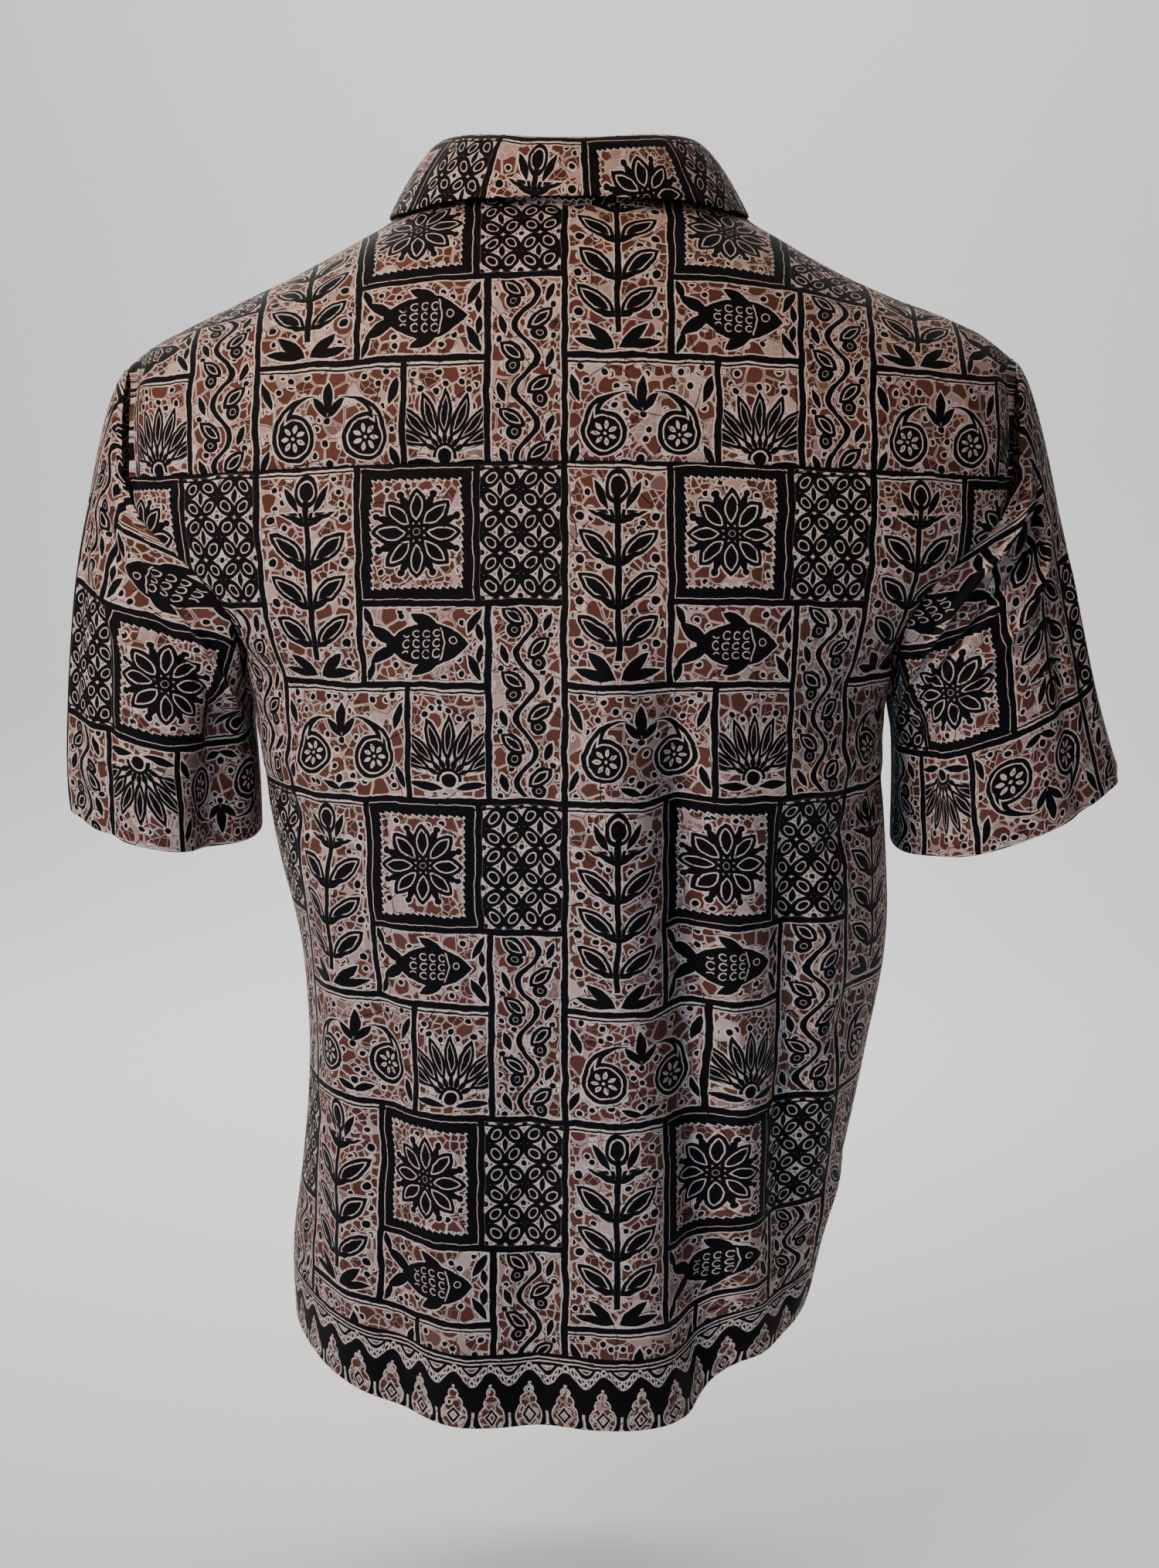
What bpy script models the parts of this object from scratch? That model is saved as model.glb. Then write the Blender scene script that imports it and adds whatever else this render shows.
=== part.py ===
# A men's short-sleeved cotton shirt, filled out as when worn, with nobody in it.
#
# Metres, +Z up. The front faces -Y and the wearer's left is +X. The origin is the middle of the
# neck, at the height of the collar seam behind it, where the wearer's neck and shoulders carry it.
#
# Each panel is an open surface with a Solidify wall. Back, yoke and fronts lie on one hollow form,
# which is worked out from two short tables. Below the yoke the form is a stack of half ovals, and
# above it a roof over the shoulders.

import math

import bmesh
import bpy
import numpy as np
from mathutils import Matrix, Vector

CLOTH = 0.0012
COLLAR_CLOTH = 0.0015
SEAM_GAP = 0.0004
LAP_WIDTH = 0.034
LAP_STEP = 0.0017
LAP_FADE_START = 0.55

BUTTON_RADIUS = 0.0056
BUTTON_THICKNESS = 0.0024
BUTTON_BEVEL = 0.0005
BUTTON_SIDES = 16
BUTTON_TOP_Z = -0.118
BUTTON_PITCH = 0.092
BUTTONS_DOWN_FRONT = 6

# Where the form is measured, from the hem up to the yoke. Each row is a half oval behind and one in
# front: "reach" is its half width, and it is cut off at "cut", which is 0 at the side seam and above
# the underarm the armhole's edge. "edge_z" is the height there.
LEVEL_COLUMNS = ("back_z", "back_y", "front_z", "front_y", "edge_z",
                 "left_reach", "right_reach", "back_cut", "front_cut")
LEVELS = {
    "hem":         (-0.697, 0.126, -0.690, -0.124, -0.664, 0.1690, 0.1470, 0.000, 0.000),
    "seat":        (-0.640, 0.129, -0.634, -0.130, -0.620, 0.1690, 0.1550, 0.000, 0.000),
    "hip":         (-0.580, 0.127, -0.576, -0.133, -0.570, 0.1630, 0.1660, 0.000, 0.000),
    "waist":       (-0.500, 0.123, -0.498, -0.134, -0.496, 0.1570, 0.1800, 0.000, 0.000),
    "ribs":        (-0.430, 0.124, -0.429, -0.135, -0.430, 0.1610, 0.1900, 0.000, 0.000),
    "chest":       (-0.370, 0.128, -0.369, -0.137, -0.374, 0.1735, 0.1890, 0.000, 0.000),
    "side_top":    (-0.322, 0.131, -0.321, -0.138, -0.328, 0.1815, 0.1860, 0.000, 0.000),
    "underarm":    (-0.276, 0.132, -0.276, -0.137, -0.285, 0.1870, 0.1875, 0.000, 0.000),
    "arm_low":     (-0.253, 0.132, -0.253, -0.136, -0.262, 0.1960, 0.1965, 0.048, -0.049),
    "arm_inner":   (-0.228, 0.131, -0.229, -0.134, -0.237, 0.2160, 0.2165, 0.073, -0.073),
    "arm_hollow":  (-0.206, 0.130, -0.209, -0.132, -0.215, 0.2400, 0.2410, 0.081, -0.080),
    "arm_slant":   (-0.187, 0.128, -0.192, -0.130, -0.197, 0.2590, 0.2610, 0.079, -0.078),
    "arm_outer":   (-0.167, 0.126, -0.175, -0.127, -0.178, 0.2700, 0.2725, 0.068, -0.068),
    "yoke":        (-0.136, 0.121, -0.150, -0.122, -0.152, 0.2714, 0.2740, 0.051, -0.0514),
}

# The line along the top of the shoulders, from the middle of the neck out to the sleeve.
RIDGE_COLUMNS = ("x", "y", "back_z", "front_z", "right_rise")
RIDGE = {
    "neck_middle": (0.0000, 0.010, 0.016, -0.040, 0.000),
    "neck_half":   (0.0400, 0.009, 0.013, -0.024, 0.000),
    "neck_side":   (0.0750, 0.008, 0.004, 0.004, 0.000),
    "collar_foot": (0.1120, 0.006, -0.016, -0.016, 0.001),
    "mid":         (0.1500, 0.004, -0.037, -0.037, 0.001),
    "outer":       (0.1900, 0.002, -0.056, -0.056, 0.002),
    "slope":       (0.2200, 0.001, -0.070, -0.070, 0.005),
    "cap":         (0.2420, 0.000, -0.082, -0.082, 0.006),
    "sleeve_head": (0.2560, 0.000, -0.093, -0.093, 0.006),
}

# How square the half ovals and the roof are, how sharply the armhole's edge leaves the side seam,
# and how late each row rises to its edge: latest at the hem, then sooner over the lowest third.
OVAL_POWER = 2.3
BACK_ROOF_POWER = 0.85
FRONT_ROOF_POWER = 1.0
CORNER_SWING = 2.6
HEM_RISE_POWER = 3.4
ROW_RISE_POWER = 2.0
HEM_RISE_TOP = 1 / 3

# On the right, past the back's deep fold, the hem is drawn up.
HEM_TUCK_LIFT = 0.022
HEM_TUCK_START = 0.070
HEM_TUCK_WIDTH = 0.036

NECK_HALF_WIDTH = 0.0750
NECK_BACK_Y = 0.0700
NECK_FRONT_Y = -0.0770
YOKE_FRONT_Y = -0.0340

# The largest folds of the body. Each runs from one point to another, seen from behind or in front
# (x, z), is so wide, and stands so far out, or in where it is negative.
FOLD_FADE_IN = 0.45
FOLD_COLUMNS = ("side", "x0", "z0", "x1", "z1", "width", "rise")
BODY_FOLDS = {
    "back_trough":       ("back", -0.058, -0.330, -0.080, -0.700, 0.017, -0.0085),
    "back_ridge":        ("back", -0.092, -0.350, -0.112, -0.700, 0.018, 0.0060),
    "back_inner_ridge":  ("back", -0.024, -0.400, -0.036, -0.700, 0.024, 0.0040),
    "right_flank":       ("back", -0.130, -0.370, -0.128, -0.570, 0.012, -0.0050),
    "left_flank":        ("back", 0.140, -0.360, 0.128, -0.600, 0.016, 0.0045),
    "left_hollow":       ("back", 0.106, -0.420, 0.098, -0.690, 0.022, -0.0045),
    "front_left_ridge":  ("front", 0.086, -0.300, 0.104, -0.700, 0.022, 0.0060),
    "front_left_trough": ("front", 0.124, -0.360, 0.134, -0.690, 0.018, -0.0060),
    "front_right_ridge": ("front", -0.098, -0.320, -0.092, -0.700, 0.022, 0.0060),
    "front_right_dip":   ("front", -0.058, -0.400, -0.052, -0.700, 0.018, -0.0045),
}

# Each sleeve hangs from the armhole to an oval cuff. "lean" is the way its cloth points at the cuff.
SLEEVES = {
    "left":  {"outer": (0.2950, -0.345), "inner": (0.1845, -0.366), "back": 0.066, "front": 0.070,
              "tilt": 0.010, "lean": (-0.08, -0.06, -1.0)},
    "right": {"outer": (0.3260, -0.326), "inner": (0.1925, -0.373), "back": 0.067, "front": 0.070,
              "tilt": 0.012, "lean": (0.40, -0.05, -1.0)},
}
SLEEVE_START_PULL = 0.085
SLEEVE_END_PULL = 0.22
SLEEVE_UNDERARM_WAY = (0.16, 0.0, -1.0)
SLEEVE_STAND_OFF = 0.0007
SLEEVE_FOLD_START = 0.17
CUFF_ROUNDING = 0.9
ARMHOLE_WALL_STEP = 0.04
ARMHOLE_ROOF_STEP = 0.008
SLEEVE_FOLD_COLUMNS = ("sleeve", "turn0", "down0", "turn1", "down1", "width", "rise")
SLEEVE_FOLDS = {
    "left_drag":   ("left", 0.13, 0.20, 0.36, 0.02, 0.035, 0.0045),
    "left_crease": ("left", 0.18, 0.45, 0.42, 0.16, 0.035, -0.0045),
    "left_hang":   ("left", 0.40, 0.30, 0.38, 1.00, 0.035, -0.0035),
    "right_drag":  ("right", 0.10, 0.30, 0.40, 0.12, 0.036, 0.0045),
    "right_crease": ("right", 0.12, 0.48, 0.40, 0.24, 0.036, -0.0045),
    "right_hang":  ("right", 0.42, 0.40, 0.43, 1.00, 0.034, 0.0045),
}

# The collar. "turn" is the angle round the neck from the back, and the leaf's edge is given by its
# place in plan and how far it stands off the shirt.
STAND_HEIGHT = {"back": 0.0325, "side": 0.0265, "front": 0.0270}
STAND_TOP = {"half_width": 0.0700, "back_y": 0.0625, "front_y": -0.0680}
LEAF_COLUMNS = ("turn", "x", "y", "lift")
LEAF_EDGE = {
    "nape":        (0, 0.000, 0.0815, 0.0125),
    "nape_side":   (28, 0.046, 0.0760, 0.0105),
    "corner":      (56, 0.086, 0.0500, 0.0055),
    "side":        (88, 0.103, 0.0030, 0.0035),
    "front_side":  (122, 0.098, -0.0430, 0.0035),
    "fall":        (148, 0.082, -0.0790, 0.0035),
    "point":       (171, 0.056, -0.1060, 0.0045),
}
LEAF_ROLL_UP = 0.0080
LEAF_ROLL_OUT = 0.0120
LEAF_ROW_POWER = 1.5
STAND_LIFT = 0.0009
STAND_LAP_STEP = 0.0021

# How many faces each panel has. Panels that are sewn together share their points along the seam.
BACK_COLUMNS = 28
FRONT_NECK_COLUMNS = 4
FRONT_SEAM_COLUMNS = 9
SIDE_ROWS = 15
ARMHOLE_ROWS = 7
FRONT_ROOF_ROWS = 4
YOKE_ARM_COLUMNS = 6
SLEEVE_ROWS = 10
STAND_ROWS = 2
LEAF_ROWS = 6


# ---- reading the tables -----------------------------------------------------------------------

def column(table, columns, name):
    place = columns.index(name)
    return np.array([row[place] for row in table.values()], dtype=float)


def smooth(knots, values, at, corner=None):
    """A smooth curve through values at rising knots. It may turn sharply at one corner knot."""
    at = np.clip(np.asarray(at, dtype=float), knots[0], knots[-1])
    steps = np.diff(knots)
    slopes = np.diff(values) / steps
    tangents = np.empty_like(values)
    tangents[0] = slopes[0]
    tangents[-1] = slopes[-1]
    tangents[1:-1] = (slopes[:-1] * steps[1:] + slopes[1:] * steps[:-1]) / (steps[1:] + steps[:-1])
    leaving = tangents.copy()
    if corner is not None:
        tangents[corner] = slopes[corner - 1]
        leaving[corner] = slopes[corner] * CORNER_SWING
    span = np.clip(np.searchsorted(knots, at, side="right") - 1, 0, len(steps) - 1)
    width = steps[span]
    t = (at - knots[span]) / width
    start = values[span] * (1 + 2 * t) * (1 - t) ** 2 + leaving[span] * width * t * (1 - t) ** 2
    end = values[span + 1] * t ** 2 * (3 - 2 * t) - tangents[span + 1] * width * t ** 2 * (1 - t)
    return start + end


EDGE_Z = column(LEVELS, LEVEL_COLUMNS, "edge_z")
LEVEL_KNOTS = (EDGE_Z - EDGE_Z[0]) / (EDGE_Z[-1] - EDGE_Z[0])
UNDERARM_ROW = list(LEVELS).index("underarm")
UNDERARM = float(LEVEL_KNOTS[UNDERARM_ROW])
RIDGE_X = column(RIDGE, RIDGE_COLUMNS, "x")


def level(name, height):
    corner = UNDERARM_ROW if name.endswith("cut") else None
    return smooth(LEVEL_KNOTS, column(LEVELS, LEVEL_COLUMNS, name), height, corner)


def ridge(name, x):
    return smooth(RIDGE_X, column(RIDGE, RIDGE_COLUMNS, name), np.abs(x))


def ridge_z(half, x):
    return ridge(half + "_z", x) + np.where(x < 0, ridge("right_rise", x), 0)


# ---- the hollow form ---------------------------------------------------------------------------

def row_turn(half, height):
    """How far round its oval a row goes before it is cut off."""
    share = np.clip(level(half + "_cut", height) / level(half + "_y", height), 0, 1)
    return np.arccos(share ** (OVAL_POWER / 2))


def row_reach(x, height):
    return np.where(x > 0, level("left_reach", height), level("right_reach", height))


def wall(half, across, height):
    """The form below the yoke: across runs from -1 on the right to 1 on the left, height 0 to 1."""
    across, height = np.broadcast_arrays(np.asarray(across, float), np.asarray(height, float))
    turn = row_turn(half, height)
    angle = np.abs(across) * turn
    out = np.sin(angle) ** (2 / OVAL_POWER)
    y = level(half + "_y", height) * np.clip(np.cos(angle), 0, 1) ** (2 / OVAL_POWER)
    mid_z = level(half + "_z", height)
    above_hem = np.clip(height / HEM_RISE_TOP, 0, 1)
    rise = HEM_RISE_POWER + (ROW_RISE_POWER - HEM_RISE_POWER) * above_hem
    z = mid_z + (level("edge_z", height) - mid_z) * (out / np.sin(turn) ** (2 / OVAL_POWER)) ** rise
    x = np.sign(across) * row_reach(across, height) * out
    tuck = np.clip((-x - HEM_TUCK_START) / HEM_TUCK_WIDTH, 0, 1)
    z = z + HEM_TUCK_LIFT * tuck * tuck * (3 - 2 * tuck) * (1 - above_hem) ** 2
    return np.stack([x, y, z], axis=-1)


def roof(half, x, turn):
    """The form over the shoulders: turn is 0 on the ridge and 1 on the wall's top row."""
    x, turn = np.broadcast_arrays(np.asarray(x, float), np.asarray(turn, float))
    top_y = ridge("y", x)
    top_z = ridge_z(half, x)
    foot = wall(half, across_at(half, x), np.ones_like(x))
    power = BACK_ROOF_POWER if half == "back" else FRONT_ROOF_POWER
    swing = np.sin(turn * math.pi / 2) ** power
    lift = np.cos(turn * math.pi / 2) ** power
    y = top_y + (foot[..., 1] - top_y) * swing
    z = foot[..., 2] + (top_z - foot[..., 2]) * lift
    return np.stack([x, y, z], axis=-1)


def across_at(half, x):
    """Which across value puts the wall's top row at this x."""
    out = np.clip(np.abs(x) / row_reach(x, 1.0), 0, 1)
    return np.sign(x) * np.clip(np.arcsin(out ** (OVAL_POWER / 2)) / row_turn(half, 1.0), 0, 1)


def roof_turn(half, x, y):
    """Which turn puts the roof at this y."""
    foot_y = wall(half, across_at(half, x), np.ones_like(x))[..., 1]
    top_y = ridge("y", x)
    power = BACK_ROOF_POWER if half == "back" else FRONT_ROOF_POWER
    share = np.clip((y - top_y) / (foot_y - top_y), 0, 1)
    return np.arcsin(share ** (1 / power)) / (math.pi / 2)


def surface(half, x, y):
    return roof(half, x, roof_turn(half, x, y))


def shoulder_x(sign):
    return float(wall("back", sign, 1.0)[..., 0])


def neck_plan(turn):
    """The neck seam in plan: turn in degrees from the back, positive towards the left."""
    angle = np.radians(turn)
    depth = np.where(np.cos(angle) > 0, NECK_BACK_Y, -NECK_FRONT_Y)
    return NECK_HALF_WIDTH * np.sin(angle), depth * np.cos(angle)


def neck_seam(turn):
    x, y = neck_plan(turn)
    back = surface("back", x, y)
    front = surface("front", x, y)
    return np.where((y > ridge("y", x))[..., None], back, front)


YOKE_NECK_TURN = math.degrees(math.acos(YOKE_FRONT_Y / -NECK_FRONT_Y))
YOKE_NECK_X = NECK_HALF_WIDTH * math.sin(math.radians(YOKE_NECK_TURN))
LAP_TURN = math.degrees(math.asin(LAP_WIDTH / 2 / NECK_HALF_WIDTH))


# ---- making meshes -----------------------------------------------------------------------------

def normals_of(grid, wraps=False):
    along = np.gradient(grid, axis=0)
    if wraps:
        along[0] = along[-1] = (grid[1] - grid[-2]) / 2
    normal = np.cross(along, np.gradient(grid, axis=1))
    return normal / np.linalg.norm(normal, axis=-1, keepdims=True)


def draw_in(grid, edges, distance=SEAM_GAP / 2):
    """Moves each named edge of the grid a little towards the row beside it."""
    grid = grid.copy()
    rows = {"start": (0, 1), "end": (-1, -2)}
    for name in edges:
        if name in rows:
            edge, inner = rows[name]
            step = grid[inner] - grid[edge]
            grid[edge] += step / np.linalg.norm(step, axis=-1, keepdims=True) * distance
        else:
            edge, inner = {"bottom": (0, 1), "top": (-1, -2)}[name]
            step = grid[:, inner] - grid[:, edge]
            grid[:, edge] += step / np.linalg.norm(step, axis=-1, keepdims=True) * distance
    return grid


def fold_offset(points, side):
    """How far the body's folds move each point out."""
    offset = np.zeros(points.shape[:-1])
    for row in BODY_FOLDS.values():
        fold = dict(zip(FOLD_COLUMNS, row))
        if fold["side"] != side:
            continue
        start = np.array([fold["x0"], fold["z0"]])
        run = np.array([fold["x1"], fold["z1"]]) - start
        offset += fold["rise"] * crease(points[..., [0, 2]] - start, run, fold["width"])
    return offset


def crease(place, run, width):
    """A soft ridge along run: 1 on its line, fading in from its start and out at its sides."""
    length = np.linalg.norm(run)
    along = place @ run / length ** 2
    beside = (place[..., 0] * run[1] - place[..., 1] * run[0]) / length
    fade_in = np.clip(along / FOLD_FADE_IN, 0, 1)
    return np.exp(-(beside / width) ** 2) * fade_in ** 2 * (3 - 2 * fade_in)


def cloth_object(name, grid, material, thickness=CLOTH, wraps=False):
    """An open surface through the grid's points, given its wall by Solidify on the inside."""
    across, up = grid.shape[0] - 1, grid.shape[1] - 1
    mesh = bpy.data.meshes.new(name)
    shape = bmesh.new()
    bmesh.ops.create_grid(shape, x_segments=across, y_segments=up, size=1)
    shape.verts.ensure_lookup_table()
    for vertex in shape.verts:
        i = round((vertex.co.x + 1) / 2 * across)
        j = round((vertex.co.y + 1) / 2 * up)
        vertex.co = Vector(grid[i, j])
    if wraps:
        bmesh.ops.remove_doubles(shape, verts=shape.verts, dist=1e-6)
    shape.to_mesh(mesh)
    shape.free()
    piece = bpy.data.objects.new(name, mesh)
    shell = piece.modifiers.new("wall", "SOLIDIFY")
    shell.thickness = thickness
    shell.offset = -1
    finish(piece, material)
    return piece


def finish(piece, material):
    piece.data.materials.append(material)
    piece.data.shade_smooth()
    shirt.objects.link(piece)


def plain_material(name, colour, roughness):
    material = bpy.data.materials.new(name)
    material.use_nodes = True
    surface_node = material.node_tree.nodes["Principled BSDF"]
    surface_node.inputs["Base Color"].default_value = colour
    surface_node.inputs["Roughness"].default_value = roughness
    surface_node.inputs["Metallic"].default_value = 0.0
    return material


def cloth_material(name):
    return plain_material(name + "_cloth", (0.16, 0.09, 0.07, 1), 0.75)


# ---- the panels --------------------------------------------------------------------------------

def even_stops(path, count, low, high):
    """Stops from low to high that cut the path into equal lengths."""
    fine = np.linspace(low, high, 300)
    steps = np.linalg.norm(np.diff(path(fine), axis=0), axis=1)
    lengths = np.concatenate([[0], np.cumsum(steps)])
    return np.interp(np.linspace(0, lengths[-1], count + 1), lengths, fine)


def row_heights():
    """The rows of the back and the fronts, from the hem to the yoke."""
    side = np.linspace(0, UNDERARM, SIDE_ROWS + 1)
    arm = even_stops(lambda height: wall("back", 1.0, height), ARMHOLE_ROWS, UNDERARM, 1.0)
    return np.concatenate([side, arm[1:]])


def seam_turn(sign):
    """Where the front yoke seam meets the armhole, as the roof's turn."""
    return float(roof_turn("front", np.array(shoulder_x(sign)), YOKE_FRONT_Y))


def yoke_arm_turns(sign):
    """The yoke's points along the armhole, from the front seam to the back one."""
    def edge(turn):
        return signed_roof(np.full_like(turn, shoulder_x(sign)), turn)

    return even_stops(edge, YOKE_ARM_COLUMNS, -seam_turn(sign), 1.0)


def front_seam_x(sign):
    """The columns of a front along its seam with the yoke, from the neck to the armhole."""
    neck_across = float(across_at("front", np.array(sign * YOKE_NECK_X)))
    across = np.linspace(neck_across, sign, FRONT_SEAM_COLUMNS + 1)
    return wall("front", across, 1.0)[:, 0]


def make_back():
    across = np.linspace(-1, 1, BACK_COLUMNS + 1)[:, None]
    grid = wall("back", across, row_heights()[None, :])
    grid = grid - normals_of(grid) * fold_offset(grid, "back")[..., None]
    grid = draw_in(grid, ("start", "end", "top"))
    cloth_object("back", grid[::-1], cloth_material("back"))


def signed_turn(x, y):
    """The roof's turn at a place in plan: positive behind the ridge, negative in front of it."""
    behind = roof_turn("back", x, y)
    ahead = roof_turn("front", x, y)
    return np.where(y > ridge("y", x), behind, -ahead)


def signed_roof(x, turn):
    behind = roof("back", x, np.clip(turn, 0, 1))
    ahead = roof("front", x, np.clip(-turn, 0, 1))
    return np.where((turn > 0)[..., None], behind, ahead)


def yoke_outline():
    """The yoke's outer edge, from the left front seam round the back to the right one."""
    left = [(shoulder_x(1), turn) for turn in yoke_arm_turns(1)]
    right = [(shoulder_x(-1), turn) for turn in yoke_arm_turns(-1)]
    across = np.linspace(1, -1, BACK_COLUMNS + 1)[1:-1]
    back = [(x, 1.0) for x in wall("back", across, 1.0)[:, 0]]
    return np.array(left + back + right[::-1])


def yoke_neck_turns():
    return np.linspace(YOKE_NECK_TURN, -YOKE_NECK_TURN, len(yoke_outline()))


def make_yoke():
    outer = yoke_outline()
    neck_x, neck_y = neck_plan(yoke_neck_turns())
    inner = np.stack([neck_x, signed_turn(neck_x, neck_y)], axis=-1)
    seam = front_seam_x(1)
    share = ((seam - seam[0]) / (seam[-1] - seam[0]))[None, :, None]
    flat = inner[:, None, :] * (1 - share) + outer[:, None, :] * share
    grid = signed_roof(flat[..., 0], flat[..., 1])
    grid = draw_in(grid, ("start", "end", "bottom", "top"))
    cloth_object("yoke", grid[::-1], cloth_material("yoke"))


def front_top(x, sign):
    """How high a front goes at this x: the neck seam, then the seam with the yoke."""
    neck_y = NECK_FRONT_Y * np.sqrt(np.clip(1 - (x / NECK_HALF_WIDTH) ** 2, 0, 1))
    neck_end = float(roof_turn("front", np.array(sign * YOKE_NECK_X), YOKE_FRONT_Y))
    share = (np.abs(x) - YOKE_NECK_X) / (abs(shoulder_x(sign)) - YOKE_NECK_X)
    on_seam = neck_end + share * (seam_turn(sign) - neck_end)
    return np.where(np.abs(x) < YOKE_NECK_X, roof_turn("front", x, neck_y), on_seam)


def front_neck_turns():
    """The fronts' points on the neck seam: the lap's edge and middle, then round to the yoke."""
    lap = 180 - LAP_TURN
    return np.concatenate([[180 + LAP_TURN, 180], np.linspace(lap, YOKE_NECK_TURN, FRONT_NECK_COLUMNS + 1)])


def make_front(name, sign, lap):
    """A front, whose middle edge lies half the lap past the centre. lap moves it under the other."""
    neck_x = sign * neck_plan(front_neck_turns())[0]
    x = np.concatenate([neck_x[:-1], front_seam_x(sign)])
    low = wall("front", across_at("front", x)[:, None], row_heights()[None, :])
    climb = np.linspace(1, 0, FRONT_ROOF_ROWS + 1)[None, 1:]
    top = front_top(x, sign)[:, None]
    high = roof("front", x[:, None], top + climb * (1 - top))
    grid = np.concatenate([low, high], axis=1)
    beside = np.clip((np.abs(x) - LAP_WIDTH * LAP_FADE_START) / LAP_WIDTH, 0, 1)
    beside = np.where(x * sign < 0, 0, beside)
    under = lap * (1 - beside ** 2 * (3 - 2 * beside))
    offset = fold_offset(grid, "front") + under[:, None]
    grid = grid + normals_of(grid) * sign * offset[..., None]
    grid = draw_in(grid, ("start", "end", "top"))
    cloth_object(name, grid if sign > 0 else grid[::-1], cloth_material(name))


# ---- the sleeves -------------------------------------------------------------------------------

def armhole(sign):
    """The armhole from the underarm up the back, over and down the front, and the way out of it."""
    heights = row_heights()[SIDE_ROWS:]
    edge_x = shoulder_x(sign)
    back = wall("back", sign, heights)
    near = sign * (1 - ARMHOLE_WALL_STEP)
    back_inside = wall("back", near, heights)
    over = yoke_arm_turns(sign)[::-1][1:]
    climb = np.linspace(1, 0, FRONT_ROOF_ROWS + 1)
    down = -(seam_turn(sign) + climb[::-1][1:] * (1 - seam_turn(sign)))
    roof_turns = np.concatenate([over, down])
    top = signed_roof(np.full_like(roof_turns, edge_x), roof_turns)
    top_inside = signed_roof(np.full_like(roof_turns, edge_x - sign * ARMHOLE_ROOF_STEP), roof_turns)
    front = wall("front", sign, heights[::-1][1:])
    front_inside = wall("front", near, heights[::-1][1:])
    points = np.concatenate([back, top, front])
    ways = points - np.concatenate([back_inside, top_inside, front_inside])
    return points, ways / np.linalg.norm(ways, axis=1, keepdims=True)


def cuff(side, sign, along):
    values = SLEEVES[side]
    outer = np.array(values["outer"])
    inner = np.array(values["inner"])
    swing = np.cos(along * 2 * math.pi)
    swing = np.sign(swing) * np.abs(swing) ** CUFF_ROUNDING
    sideways = np.sin(along * 2 * math.pi)
    flat = (outer + inner) / 2 + (inner - outer) / 2 * swing[:, None]
    depth = np.where(sideways > 0, values["back"], values["front"]) * sideways
    return np.stack([sign * flat[:, 0], depth, flat[:, 1] - values["tilt"] * sideways], axis=-1)


def make_sleeve(side, sign):
    points, ways = armhole(sign)
    steps = np.linalg.norm(np.diff(points, axis=0), axis=1)
    along = np.concatenate([[0], np.cumsum(steps)]) / steps.sum()
    low = np.clip(np.cos(along * 2 * math.pi), 0, 1)[:, None]
    edge_way = np.gradient(points, axis=0)
    edge_way[0] = edge_way[-1] = points[1] - points[-2]
    facing = np.cross(edge_way, ways) * sign
    facing /= np.linalg.norm(facing, axis=1, keepdims=True)
    down = np.array(SLEEVE_UNDERARM_WAY) * np.array([sign, 1, 1])
    leave = ways * (1 - low) + down * low
    leave /= np.linalg.norm(leave, axis=1, keepdims=True)
    start = points + facing * low * SLEEVE_STAND_OFF + leave * SEAM_GAP
    start[-1] = start[0]
    lean = np.array(SLEEVES[side]["lean"]) * np.array([sign, 1, 1])
    outer_share = (1 - np.cos(along * 2 * math.pi))[:, None] / 2
    arrive = lean * np.array([1, 0, 0]) * outer_share + lean * np.array([0, 1, 1])
    arrive /= np.linalg.norm(arrive, axis=1, keepdims=True)
    share = np.linspace(0, 1, SLEEVE_ROWS + 1)[None, :, None]
    grid = (start[:, None] * (1 + 2 * share) * (1 - share) ** 2
            + leave[:, None] * SLEEVE_START_PULL * share * (1 - share) ** 2
            + cuff(side, sign, along)[:, None] * share ** 2 * (3 - 2 * share)
            - arrive[:, None] * SLEEVE_END_PULL * share ** 2 * (1 - share))
    place = np.stack(np.broadcast_arrays(along[:, None], share[..., 0]), axis=-1)
    offset = np.zeros(grid.shape[:-1])
    for row in SLEEVE_FOLDS.values():
        fold = dict(zip(SLEEVE_FOLD_COLUMNS, row))
        if fold["sleeve"] == side:
            begin = np.array([fold["turn0"], fold["down0"]])
            run = np.array([fold["turn1"], fold["down1"]]) - begin
            offset += fold["rise"] * crease(place - begin, run, fold["width"])
    offset *= np.clip(share[..., 0] / SLEEVE_FOLD_START, 0, 1)
    grid = grid + normals_of(grid, wraps=True) * sign * offset[..., None]
    grid[-1] = grid[0]
    name = "sleeve_" + side
    cloth_object(name, grid if sign > 0 else grid[::-1], cloth_material(name), wraps=True)


# ---- the collar --------------------------------------------------------------------------------

def stand_top(turn):
    angle = np.radians(turn)
    depth = np.where(np.cos(angle) > 0, STAND_TOP["back_y"], -STAND_TOP["front_y"])
    middle = np.where(np.cos(angle) > 0, STAND_HEIGHT["back"], STAND_HEIGHT["front"])
    height = STAND_HEIGHT["side"] + (middle - STAND_HEIGHT["side"]) * np.cos(angle) ** 2
    z = neck_seam(turn)[..., 2] + height
    return np.stack([STAND_TOP["half_width"] * np.sin(angle), depth * np.cos(angle), z], axis=-1)


def collar_turns():
    """The points round the collar, from the right end under the lap to the left end over it."""
    front = front_neck_turns()[:-1]
    return np.concatenate([-front, yoke_neck_turns()[::-1], front[::-1]])


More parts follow.
